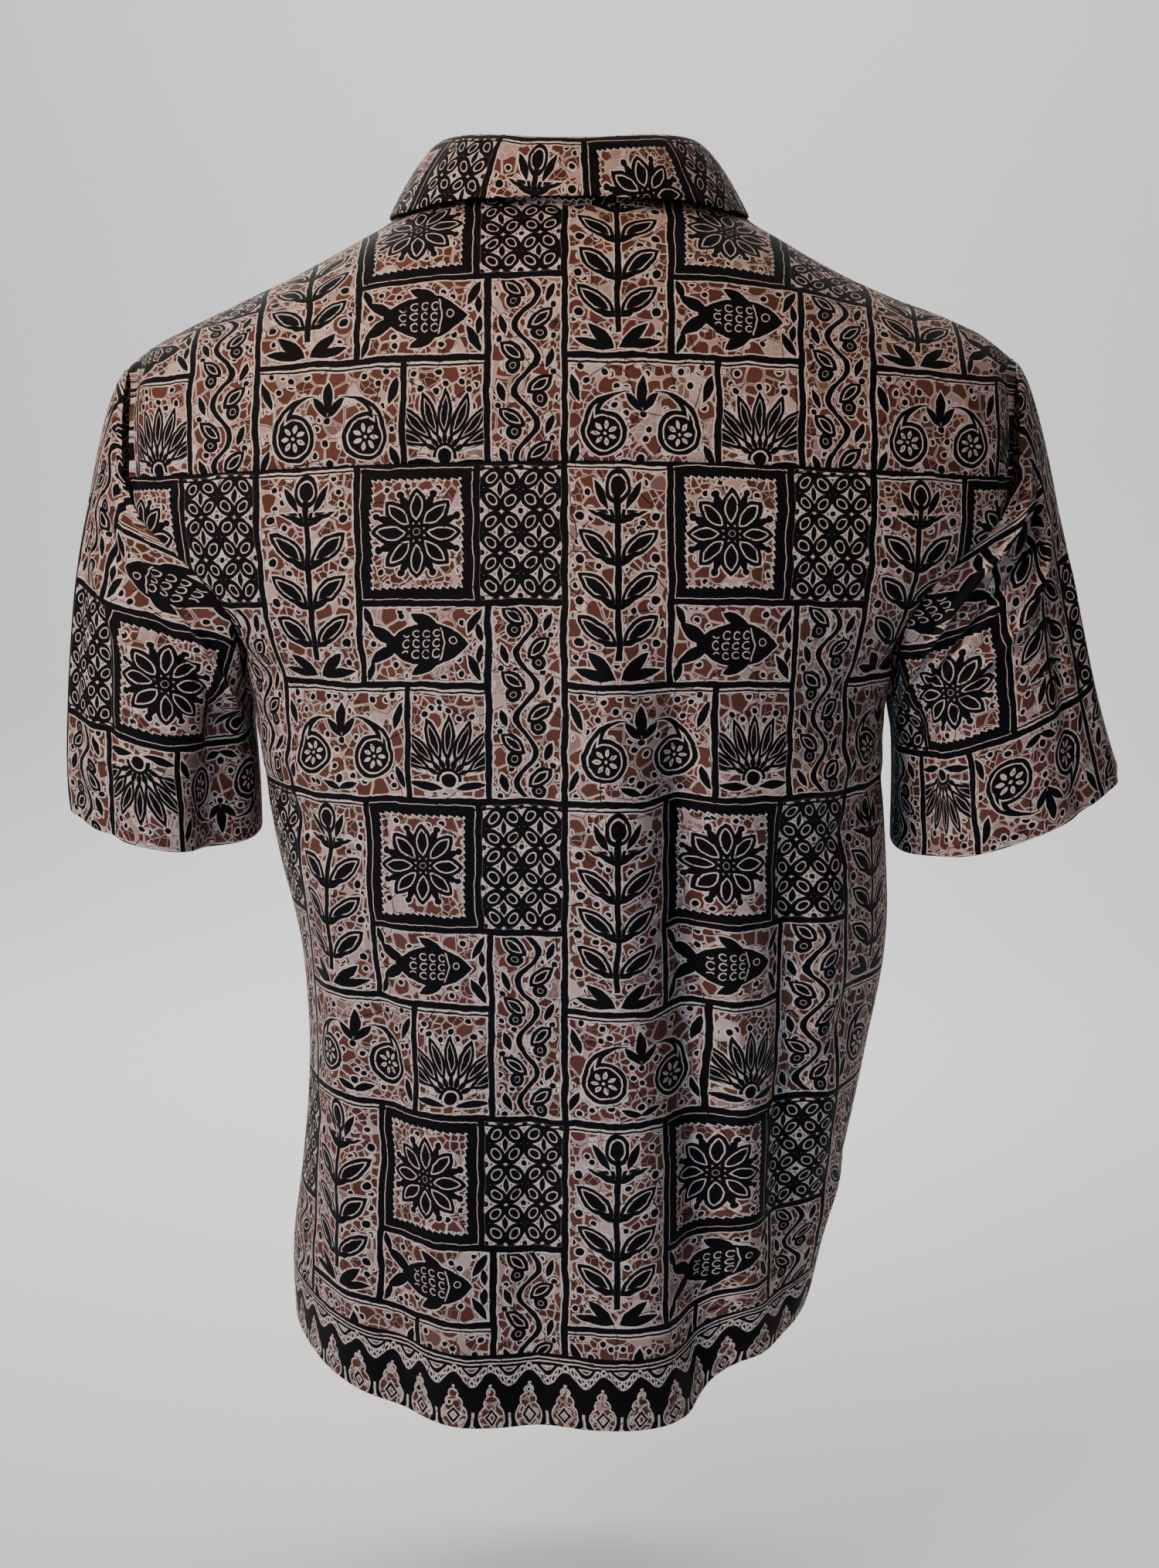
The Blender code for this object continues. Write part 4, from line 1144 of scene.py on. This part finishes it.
# A tall plant: paired leaves and berries up a stem, a bud on top and a tuft at its foot.
def drawSprig(own):
    half = mirrored(own)
    x, y = apart(half)
    row = repeated(seenFrom(half, 0, -8), 300, 23)
    pairs = lowest(inlined(leaf(row, 11.8, 1, 38, 12.3, 5.2), 1.9), disc(row, 21, -6.5, 1.9),
                   leaf(row, 5.5, -7, 30, 6, 1.5))
    pairs = highest(pairs, size(y + 2) - 37)
    stem = highest(x - 1.2, size(y + 2) - 45)
    bud = inlined(oval(half, 0, 47.5, 90, 8.8, 6.2), 1.9)
    tuft = lowest(leaf(half, 9, -50, 42, 9.5, 2.8), leaf(half, 13, -54.5, 12, 10, 2.2))
    crown = leaf(half, 8.5, 43, 62, 7.5, 1.8)
    return lowest(pairs, stem, bud, tuft, crown)


# An eight-petalled star in a bold frame with a scalloped inner edge.
def drawStar(own):
    petal = spokes(own, 8)
    half = vector("ABSOLUTE", petal)
    star = lowest(inlined(leaf(petal, 14, 0, 0, 10, 5.2), 2.0), leaf(half, 15.5, 6.4, 22.5, 6, 1.7),
                  disc(half, 21.3, 8.8, 1.5), ring(own, 0, 0, 3.1, 0.7), disc(own, 0, 0, 1.1))
    edge = edgeOf(own, "star")
    x, y = apart(own)
    scallop = number("PINGPONG", x + y, 2.1)
    return lowest(star, highest(edge + 2.85, -(edge + 7.0) - scallop * 0.7))


# A plain fish with scales like small crescents, and water weed beside it.
def drawFish(own):
    x, y = apart(own)
    both = together(x, size(y))
    body = leaf(both, 2, 0, 0, 23, 11.5)
    tail = leaf(both, -23, 5.5, 148, 9, 3)
    fins = leaf(both, 1, 13, 152, 8, 2.8)
    scales = ring(repeated(own, 5.8, 5.6), 1.4, 0, 2.0, 0.85)
    scales = highest(scales, body + 2.2, size(x + 2) - 12.5)
    eye = lowest(ring(own, 16.2, 1.6, 2.0, 0.8), size(number("MULTIPLY_ADD", size(y), 0.25, x) - 11.6) - 0.9)
    fish = highest(lowest(body, tail, fins), -scales, -highest(eye, body + 0.8))
    weed = lowest(leaf(both, 29, 13, 62, 7, 1.8), leaf(both, 31.5, 6, 96, 4.5, 1.4),
                  leaf(both, -31, 15, 110, 5.5, 1.6))
    return lowest(fish, weed)


# Kawung: four ovals round each point of a grid, with a dot between them.
def drawKawung(place):
    own = repeated(place, 21.5, 23.5)
    quarter = vector("ABSOLUTE", own)
    petals = inlined(oval(quarter, 5.5, 5.9, 47, 6.3, 4.1), 1.9, 0.8)
    return lowest(petals, disc(own, 0, 0, 1.0), leaf(quarter, 10.7, 0, 90, 3.4, 1.1),
                  disc(quarter, 0, 11.7, 1.1))


# Two paisleys face to face, with a small spray between them.
def drawPaisley(place):
    half = mirrored(place)
    own = seenFrom(half, 20.5, -8)
    x, y = apart(own)
    tail = highest(disc(own, -9, 2, 20), -disc(own, -11.5, 8.3, 14), -1.0 - y, -13.0 - x)
    body = inlined(lowest(disc(own, 0, 0, 12), tail), 2.4, 0.95)
    flower = spokes(own, 7)
    body = highest(body, -lowest(leaf(flower, 4.9, 0, 0, 3.1, 1.7), disc(own, 0, 0, 1.4)))
    spray = lowest(leaf(half, 0, 14, 90, 8, 2.6), leaf(half, 4.6, 8.5, 48, 6, 1.8), disc(half, 0, 1.5, 1.4),
                   leaf(half, 36, 16, 70, 7, 1.9), leaf(half, 37, -20, 110, 6, 1.7), disc(half, 0, -22, 1.8),
                   leaf(half, 5.5, -25.5, 20, 5.5, 1.6), disc(half, 21, 24.5, 1.3), disc(half, 33, 27, 1.2))
    return lowest(body, spray)


# A fan of long leaves over a half ring, with dots past their tips.
def drawFan(place):
    own = seenFrom(place, 0, -21, 90)
    x, y = apart(own)
    angle = size(number("ARCTAN2", y, x))
    blade = spokes(own, 18)
    fan = lowest(inlined(leaf(blade, 24, 0, 0, 12.5, 3.4), 1.5, 0.72), leaf(blade, 9.5, 0, 0, 3.0, 1.0),
                 disc(blade, 39.5, 0, 1.3))
    fan = highest(fan, (angle - 1.22) * 12.0)
    root = lowest(disc(own, 0, 0, 3.4), highest(ring(own, 0, 0, 6, 0.5), -0.5 - x))
    return lowest(fan, root, leaf(mirroredUp(own), -3.4, 12.5, 82, 8.5, 1.8))


# A vine that winds up its narrow panel, with a leaf and a curl on each side in turn.
def drawVine(own):
    x, y = apart(own)
    wave = number("SINE", y * (math.pi / 18.0))
    stem = size(number("MULTIPLY_ADD", wave, -5.5, x)) - 1.3
    side = number("SIGN", wave)
    bend = together(x * side, number("WRAP", y, 18.0, 0.0))
    twigs = lowest(inlined(leaf(bend, -7.5, 12.5, 140, 8, 4), 1.9, 0.85), ring(bend, -7, 4.5, 3, 0.75),
                   disc(bend, -7, 4.5, 0.9), leaf(bend, 12.5, 9, 70, 5, 1.7), disc(bend, 14.5, 1.5, 1.2))
    return lowest(stem, twigs)


# How each compartment is drawn, and how far inside its edge the drawing ends, where it runs past it.
drawings = {
    "sprig":   (drawSprig, None),
    "star":    (drawStar, None),
    "fish":    (drawFish, None),
    "kawung":  (drawKawung, 2.4),
    "paisley": (drawPaisley, 2.6),
    "fan":     (drawFan, 2.6),
    "vine":    (drawVine, 3.0),
}
frameHalf = 1.9
inkSpread = 0.55  # how much bolder than drawn the motifs are dyed
ruleHalf = 0.6
ruleGap = 3.6


# The distance to the nearest black edge of the frames, the double rules along them and the motifs.
def printShapes(place):
    x, y = apart(place)
    edges, motifs = [], []
    for name, (draw, inset) in drawings.items():
        own = insideOf(place, name)
        edges.append(edgeOf(own, name))
        motif = draw(own)
        motifs.append(motif if inset is None else highest(motif, edges[-1] + inset))
    lowRule = compartments["sprig"][1] - ruleGap
    rules = lowest(size(y - repeatHeight + ruleGap) - ruleHalf,
                   highest(size(y - lowRule) - ruleHalf, x - compartments["vine"][0]))
    return lowest(-lowest(*edges) - frameHalf, rules, lowest(*motifs) - inkSpread)


# How far apart the border's buds stand, and how far above the hem it ends.
budPitch = 21.5
borderTop = 46.2


# The border: buds on a black ground under a chain of rings that hangs from a double line.
def borderShapes(place):
    x, y = apart(place)
    own = together(number("WRAP", x, budPitch / 2, -budPitch / 2), y)
    side, height = apart(mirrored(own))
    swing = number("COSINE", side * (2 * math.pi / budPitch))
    chain = height - number("MULTIPLY_ADD", swing, 4.6, 35.2)
    buds = lowest(oval(own, 0, 9.2, 90, 9.0, 7.8), disc(own, 0, 18.2, 5.0), disc(own, 0, 24.4, 2.8),
                  disc(own, 0, 28.4, 0.9))
    diamond = number("MULTIPLY_ADD", size(height - 9.4), 0.72, side) - 3.2
    post = side - budPitch / 2
    posts = lowest(highest(size(post) - 0.7, height - 11.5),
                   highest(number("MULTIPLY_ADD", height, 0.9, size(post)) - 3.9, height - 3.4))
    swag = highest(2.4 - chain, height - 40.6, 1.45 - size(chain - 5.2))
    tan = lowest(highest(buds, 0.85 - size(diamond)), posts, swag)
    bead = together(number("WRAP", side, 1.8, -1.8), chain * 0.72)
    beads = lowest(ring(bead, 0, 0, 1.3, 0.42), size(chain + 2.3) - 0.36)
    lines = lowest(size(height - 42.9) - 0.45, size(height - 45.4) - 0.45)
    return -lowest(tan, beads, lines)


# The ground in millimetres: how the drawing wanders and wavers, the cells of the pebbles with the
# gaps between them, the dots and the veins. A chance is where the noise lets a thing show, and a
# rim is the pale line that the wax leaves beside an edge.
ground = {"wander": (3.4, 24), "waver": (0.9, 4.5), "cell": 10.0, "stray": 0.9, "pebbleGap": 0.64,
          "pebbleReach": 5.9, "brokenGap": 0.35, "brokenChance": 0.27, "wholeChance": 0.24, "clear": 0.78,
          "crack": 0.10, "crackChance": 0.62, "net": 0.18, "netChance": 0.57, "dotCell": 10.5, "dot": 1.75,
          "dotClear": 2.0, "veinCell": 27.0, "vein": 0.26, "veinChance": 0.50, "rim": 1.0, "pebbleRim": 0.4,
          "pebbleRimShare": 0.6}
chanceStep = 9.0  # how steeply a chance turns into a distance
crackStep = 6.0


# The ground's shapes: the brown pebbles, the pale cracks in them and the thin black net.
def crackedGround(place, black, slow):
    cell = ground["cell"]
    scaled = vector("MULTIPLY", place, (1 / cell, 1 / cell, 0))
    large = cellEdges(scaled, 1.0, ground["stray"]) * cell
    small = cellEdges(scaled, 2.0, 1.0) * (cell / 2)
    middle = cells(scaled, 1.0, ground["stray"])
    chance, shade = apart(Signal(middle.socket.node.outputs["Color"]))
    whole = highest(ground["pebbleGap"] - large, middle * cell - ground["pebbleReach"])
    broken = ground["brokenGap"] - small
    pebble = lowest(highest(whole, (ground["brokenChance"] - chance) * chanceStep),
                    highest(broken, (chance - ground["wholeChance"]) * chanceStep))
    pebble = highest(pebble, ground["clear"] - black)
    crack = highest(small - ground["crack"], (ground["crackChance"] - shade) * crackStep)
    net = highest(large - ground["net"], (ground["netChance"] - slow) * chanceStep)
    return pebble, crack, net, shade


# The plain weave: a thread every so many millimetres, and how deep, in metres, it stands.
weave = {"pitch": 0.25, "depth": 0.00003, "strength": 0.5, "roughness": 0.72, "roughSpread": 0.16,
         "shine": 0.10, "sheen": 0.02, "sheenRoughness": 0.5}


# Links each signal to the shader's input of that name.
def linkTo(shader, signals):
    for name, signal in signals.items():
        signal.socket.id_data.links.new(signal.socket, shader[name])


# Cotton dyed in wax resist: tan ground, brown pebbles, near-black frames and motifs.
def batikMaterial(name, bordered):
    paint, shader = newPaint(name)
    chart = addNode("ShaderNodeUVMap", {}, tree=paint.node_tree, uv_map="cut")
    millimetres = vector("MULTIPLY", chart, (1000, 1000, 0))
    across, up = apart(millimetres)
    slow = clouds(millimetres, ground["wander"][1])
    slowX, slowY = apart(slow)
    wander, waver = ground["wander"][0], ground["waver"][0]
    drawn = vector("MULTIPLY_ADD", slow, (wander, wander, 0), millimetres)
    drawn = vector("MULTIPLY_ADD", clouds(millimetres, ground["waver"][1]), (waver, waver, 0), drawn)
    black = printShapes(vector("WRAP", drawn, (repeatWidth, repeatHeight, 1), (0, 0, -1)))
    if bordered:
        under = borderShapes(drawn)
        black = number("MULTIPLY_ADD", mask(borderTop - up, 0.05), black - under, under)
    dots = cells(drawn, 1 / ground["dotCell"], ground["stray"])
    dots = number("MULTIPLY_ADD", dots, ground["dotCell"], -ground["dot"])
    black = lowest(black, highest(dots, ground["dotClear"] - black))
    veins = cellEdges(drawn, 1 / ground["veinCell"], 1.0) * ground["veinCell"]
    vein = highest(veins - ground["vein"], (slowX - ground["veinChance"]) * chanceStep)
    pebble, crack, net, shade = crackedGround(drawn, black, slowX)
    colour = blend(slowY, dyes["tan"], dyes["tanDark"])
    colour = blend(mask(black - ground["rim"], 0.3), colour, dyes["pale"])
    colour = blend(mask(pebble - ground["pebbleRim"], 0.25) * ground["pebbleRimShare"], colour, dyes["pale"])
    brown = blend(shade, dyes["brown"], dyes["brownDark"])
    colour = blend(mask(pebble, 0.2) * mask(-crack, 0.15), colour, brown)
    colour = blend(mask(lowest(black, vein, net)), colour, dyes["black"])
    perThread = math.pi / weave["pitch"]
    crossings = number("SINE", across * perThread) * number("SINE", up * perThread)
    bump = addNode("ShaderNodeBump",
                   {"Height": crossings, "Strength": weave["strength"], "Distance": weave["depth"]})
    rough = number("MULTIPLY_ADD", slowX, weave["roughSpread"], weave["roughness"] - weave["roughSpread"] / 2)
    linkTo(shader, {"Base Color": colour, "Normal": bump, "Roughness": rough})
    shader["Specular IOR Level"].default_value = weave["shine"]
    shader["Sheen Weight"].default_value = weave["sheen"]
    shader["Sheen Roughness"].default_value = weave["sheenRoughness"]
    return paint


batik = batikMaterial("batik", False)
borderedBatik = batikMaterial("batik_with_border", True)


# How far apart the stitches are, and how long and wide each shows.
threads = {
    "body":   {"pitch": 0.0031, "length": 0.0024, "width": 0.00032},
    "collar": {"pitch": 0.0029, "length": 0.0022, "width": 0.00032},
}
stitchFlatness = 0.8


# Spun cotton thread, dyed near-black to match the print, and moulded brown buttons with clouded
# resin and a soft polish. The grain is in spots a metre.
paints = {
    "cotton_thread": {"colours": ("#130E0C", "#251D19"), "grain": 1500, "roughness": (0.70, 0.90),
                      "bump": 0.00005, "coat": 0.0},
    "button_resin":  {"colours": ("#2A1A12", "#4A3122"), "grain": 210, "roughness": (0.25, 0.40),
                      "bump": 0.00001, "coat": 0.35},
}


# A paint clouded between two colours, with its roughness and fine bumps from the same clouds.
def cloudedPaint(name):
    look = paints[name]
    paint, shader = newPaint(name)
    place = addNode("ShaderNodeTexCoord", {}, "Object", paint.node_tree)
    cloud = addNode("ShaderNodeTexNoise", {"Vector": place, "Scale": look["grain"], "Detail": 2.0}, "Fac")
    share = addNode("ShaderNodeMapRange", {"Value": cloud, "From Min": 0.35, "From Max": 0.65})
    low, high = look["roughness"]
    linkTo(shader, {"Base Color": blend(share, *look["colours"]),
                    "Roughness": number("MULTIPLY_ADD", cloud, high - low, low),
                    "Normal": addNode("ShaderNodeBump", {"Height": cloud, "Distance": look["bump"]})})
    shader["Coat Weight"].default_value = look["coat"]
    return paint


threadPaint = cloudedPaint("cotton_thread")
buttonPaint = cloudedPaint("button_resin")


# One stitch as points and faces: a round bead, to be drawn out along the seam.
def stitchShape():
    shape = bmesh.new()
    bmesh.ops.create_icosphere(shape, subdivisions=1, radius=0.5)
    points = np.array([vertex.co for vertex in shape.verts])
    faces = np.array([[vertex.index for vertex in face.verts] for face in shape.faces])
    shape.free()
    return points, faces


stitchPoints, stitchFaces = stitchShape()


# The points of a row of stitches along a path whose cloth faces the given ways.
def stitchLine(path, ways, thread):
    look = threads[thread]
    length = np.concatenate([[0], np.cumsum(np.linalg.norm(np.diff(path, axis=0), axis=1))])
    at = np.arange(look["pitch"], length[-1] - look["pitch"] / 2, look["pitch"])
    centre = resampled(path, length, at)
    up = resampled(ways, length, at)
    half = look["length"] / 2
    ahead = unit(resampled(path, length, at + half) - resampled(path, length, at - half))
    up = unit(up - ahead * (up * ahead).sum(axis=1, keepdims=True))
    turns = np.stack([ahead, np.cross(ahead, up), up], axis=1)
    bead = np.array([look["length"], look["width"], look["width"] * stitchFlatness])
    return centre[:, None] + (stitchPoints * bead) @ turns


# Stitch lines beside edges of a grid, each edge named with how far in the line runs.
def gridLines(grid, edges, thread):
    lines = []
    ways = outward(grid)
    gaps = edgeRuns(grid)
    for edge, inset in edges.items():
        axis = 0 if edge in ("start", "end") else 1
        gap, points, facing = [np.moveaxis(values, axis, 0) for values in (gaps[edge], grid, ways)]
        path, up = [], []
        for row in range(gap.shape[1]):
            order = np.argsort(gap[:, row])
            path.append(resampled(points[order, row], gap[order, row], inset))
            up.append(resampled(facing[order, row], gap[order, row], inset))
        lines.append(stitchLine(np.array(path), np.array(up), thread))
    return lines


# All the stitches on one panel as one piece.
def makeStitching(name, lines):
    points = np.concatenate(lines)
    firsts = np.arange(len(points))[:, None, None] * len(stitchPoints)
    mesh = bpy.data.meshes.new(name + "_stitching")
    mesh.from_pydata(points.reshape(-1, 3), [], (stitchFaces[None] + firsts).reshape(-1, 3))
    mesh.shade_smooth()
    mesh.materials.append(threadPaint)
    piece = sceneObject(mesh)
    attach(piece, "root")


# A button's thickness, the rounding of its rim, the depth of its dish, the flat plate in the dish as
# a share of its radius, and its four holes with the threads through them.
buttonThick = 0.0024
buttonForm = {"rim": 0.0009, "rimHeight": 0.9, "rimPoints": 5, "dish": 0.0006, "plate": 0.50, "sides": 48,
              "holes": 4, "holeRadius": 0.00072, "holeReach": 0.0019, "holeDepth": 0.6, "holeSides": 16}
buttonDish = ((0.62, 0.75), (0.72, 0.12))  # its slope, as shares of the radius and of the dish's depth
buttonThread = {"over": 0.0012, "width": 0.0007, "height": 0.0006, "lift": 0.0001}


def plateReach(radius):
    return radius * buttonForm["plate"]


# The half section of a button from its plate to its back, as (radius, height).
def buttonProfile(radius):
    rim, dish = buttonForm["rim"], buttonForm["dish"]
    top = buttonThick / 2
    slope = [(radius * out, top - dish * deep) for out, deep in buttonDish]
    bend = [(radius - rim * (1 - math.sin(t)), top - rim * (1 - math.cos(t)) * buttonForm["rimHeight"])
            for t in np.linspace(0, math.pi / 2, buttonForm["rimPoints"])]
    back = [(radius, -top + rim / 2), (radius - rim / 2, -top), (0, -top)]
    return [(plateReach(radius), top - dish)] + slope + bend + back


# The outer face of a front on the centre line, from the hem up, and the way it faces.
def centreLine(grid):
    def atCentre(values):
        return np.array([[np.interp(0, grid[:, row, 0], values[:, row, k]) for k in range(3)]
                         for row in range(grid.shape[1])])

    return atCentre(grid), atCentre(outward(grid))


# The turn that lays a flat button on the cloth, upright, at the height of its centre.
def buttonFrame(centre, path, ways):
    z = path[:, 2]
    facing = np.array([np.interp(centre[2], z, ways[:, k]) for k in range(3)])
    facing[0] = 0
    facing = unit(facing)
    across = np.array([-1.0, 0.0, 0.0])
    return np.stack([across, np.cross(facing, across), facing], axis=1)


# A button turned round its middle, with its plate filled in round four holes.
def buttonBody(shape, radius):
    form = buttonForm
    chain = [shape.verts.new((x, 0, z)) for x, z in buttonProfile(radius)]
    edges = [shape.edges.new(pair) for pair in zip(chain, chain[1:])]
    bmesh.ops.spin(shape, geom=chain + edges, cent=(0, 0, 0), axis=(0, 0, 1), angle=2 * math.pi,
                   steps=form["sides"])
    bmesh.ops.remove_doubles(shape, verts=shape.verts, dist=1e-6)
    for hole in range(form["holes"]):
        angle = math.pi / form["holes"] + hole * 2 * math.pi / form["holes"]
        middle = Vector((math.cos(angle), math.sin(angle), 0)) * form["holeReach"]
        middle.z = buttonThick / 2 - form["dish"]
        bmesh.ops.create_circle(shape, segments=form["holeSides"], radius=form["holeRadius"],
                                matrix=Matrix.Translation(middle))
    rims = [edge for edge in shape.edges if edge.is_wire or edge.is_boundary]
    bmesh.ops.triangle_fill(shape, edges=rims, use_beauty=True)
    plate = plateReach(radius) - 1e-5
    holes = [edge for edge in rims if max(v.co.xy.length for v in edge.verts) < plate]
    walls = bmesh.ops.extrude_edge_only(shape, edges=holes)["geom"]
    bmesh.ops.translate(shape, verts=[v for v in walls if isinstance(v, bmesh.types.BMVert)],
                        vec=(0, 0, -buttonThick * form["holeDepth"]))
    bmesh.ops.recalc_face_normals(shape, faces=shape.faces)


# A four-hole button with a rim and a dished face, and the threads through its holes.
def makeButton(node, path, ways):
    low, high = [np.array(corner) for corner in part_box(node)]
    centre = (low + high) / 2
    turn = buttonFrame(centre, path, ways)
    shape = bmesh.new()
    buttonBody(shape, (high[0] - low[0]) / 2)
    bare = len(shape.faces)
    bar = buttonForm["holeReach"] * math.sqrt(2)
    face = buttonThick / 2 - buttonForm["dish"] + buttonThread["lift"]
    stretch = Matrix.Diagonal((bar + buttonThread["over"], buttonThread["width"], buttonThread["height"], 1))
    for side in (-1, 1):
        bmesh.ops.create_icosphere(shape, subdivisions=2, radius=0.5,
                                   matrix=Matrix.Translation((0, side * bar / 2, face)) @ stretch)
    for index, facet in enumerate(shape.faces):
        facet.material_index = int(index >= bare)
    for vertex in shape.verts:
        vertex.co = turn @ np.array(vertex.co) + centre
    mesh = bpy.data.meshes.new(node + "_shown")
    shape.to_mesh(mesh)
    shape.free()
    mesh.shade_smooth()
    mesh.materials.append(buttonPaint)
    mesh.materials.append(threadPaint)
    piece = sceneObject(mesh)
    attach(piece, "root")
    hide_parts(node)


# A buttonhole, from its button's middle: the slit's reach and half width, and its worked bars.
buttonHole = {"up": 0.0042, "down": 0.0098, "halfWidth": 0.0005, "barWidth": 0.00034, "bar": 0.0011,
              "pitch": 0.00042, "endBars": 6}


# The worked edge of a buttonhole: close bars down both sides of the slit and at its ends.
def buttonHoleLines(node, path, ways, upright):
    low, high = [np.array(corner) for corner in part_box(node)]
    turn = buttonFrame((low + high) / 2, path, ways)
    foot = (low + high) / 2 - turn[:, 2] * (buttonThick / 2 + seamGap / 2)
    look = buttonHole
    reach = look["halfWidth"] + look["bar"] / 2
    at = np.arange(-look["down"], look["up"], look["pitch"])
    bars = [(side * reach, y, False) for side in (-1, 1) for y in at]
    ends = [(x, y, True) for x in np.linspace(-look["bar"], look["bar"], look["endBars"])
            for y in (-look["down"], look["up"])]
    lines = []
    for x, y, turned in bars + ends:
        own = stitchPoints * np.array([look["bar"], look["barWidth"], look["barWidth"]])
        own = (own[:, [1, 0, 2]] if turned else own) + np.array([x, y, 0])
        lines.append((own if upright else own[:, [1, 0, 2]]) @ turn.T + foot)
    return np.array(lines)


# The stand's outer face at the centre front, from its foot to its top, and the way it faces.
def standFront():
    foot, top = neckSeam(np.array(180.0)), standTop(np.array(180.0))
    up = unit(top - foot)
    facing = np.array([0, -up[2], up[1]])
    return np.array([foot, top]), np.array([facing, facing])


# Each panel's slot, its kind of thread, and how far in from which of its edges a stitch line runs.
stitching = {
    "back":         ("body_cloth", "body", {"bottom": 0.011}),
    "yoke":         ("body_cloth", "body", {"top": 0.0018, "start": 0.0018, "end": 0.0018}),
    "front_left":   ("body_cloth", "body", {"bottom": 0.011, "start": 0.030}),
    "front_right":  ("body_cloth", "body", {"bottom": 0.011, "end": 0.030}),
    "sleeve_left":  ("sleeve_cloth", "body", {"top": 0.0225}),
    "sleeve_right": ("sleeve_cloth", "body", {"top": 0.0225}),
    "collar_stand": ("collar_cloth", "body", {"bottom": 0.0020, "top": 0.0020}),
    "collar_leaf":  ("collar_cloth", "collar", {"top": 0.0055, "start": 0.0055, "end": 0.0055}),
}


# Stitching, buttonholes and buttons on the finished panels. The top button is on the stand.
def makeDetails(grids):
    buttons = sorted(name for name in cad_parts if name.startswith("button_"))
    path, ways = centreLine(grids["front_left"])
    standPath, standWays = standFront()
    holes = {"front_left": [buttonHoleLines(node, path, ways, True) for node in buttons[1:]],
             "collar_stand": [buttonHoleLines(buttons[0], standPath, standWays, False)]}
    for name, (slot, thread, edges) in stitching.items():
        makeStitching(name, gridLines(grids[name], edges, thread) + holes.get(name, []))
    makeButton(buttons[0], standPath, standWays)
    for node in buttons[1:]:
        makeButton(node, path, ways)


backGrid, backFlat = makeBack()
grids = {"back": backGrid, "yoke": makeYoke(backGrid, backFlat)}
grids["front_left"] = makeFront("front_left", 1, 0.0)
grids["front_right"] = makeFront("front_right", -1, lapStep)
print("body")
grids["sleeve_left"] = makeSleeve("left", 1)
grids["sleeve_right"] = makeSleeve("right", -1)
print("sleeves")
grids["collar_stand"] = makeStand()
grids["collar_leaf"] = makeLeaf()
print("collar")
makeDetails(grids)
print("stitching and buttons")

for name, cut in cuts.items():
    print(name, "cut", [round(value, 3) for value in cut])
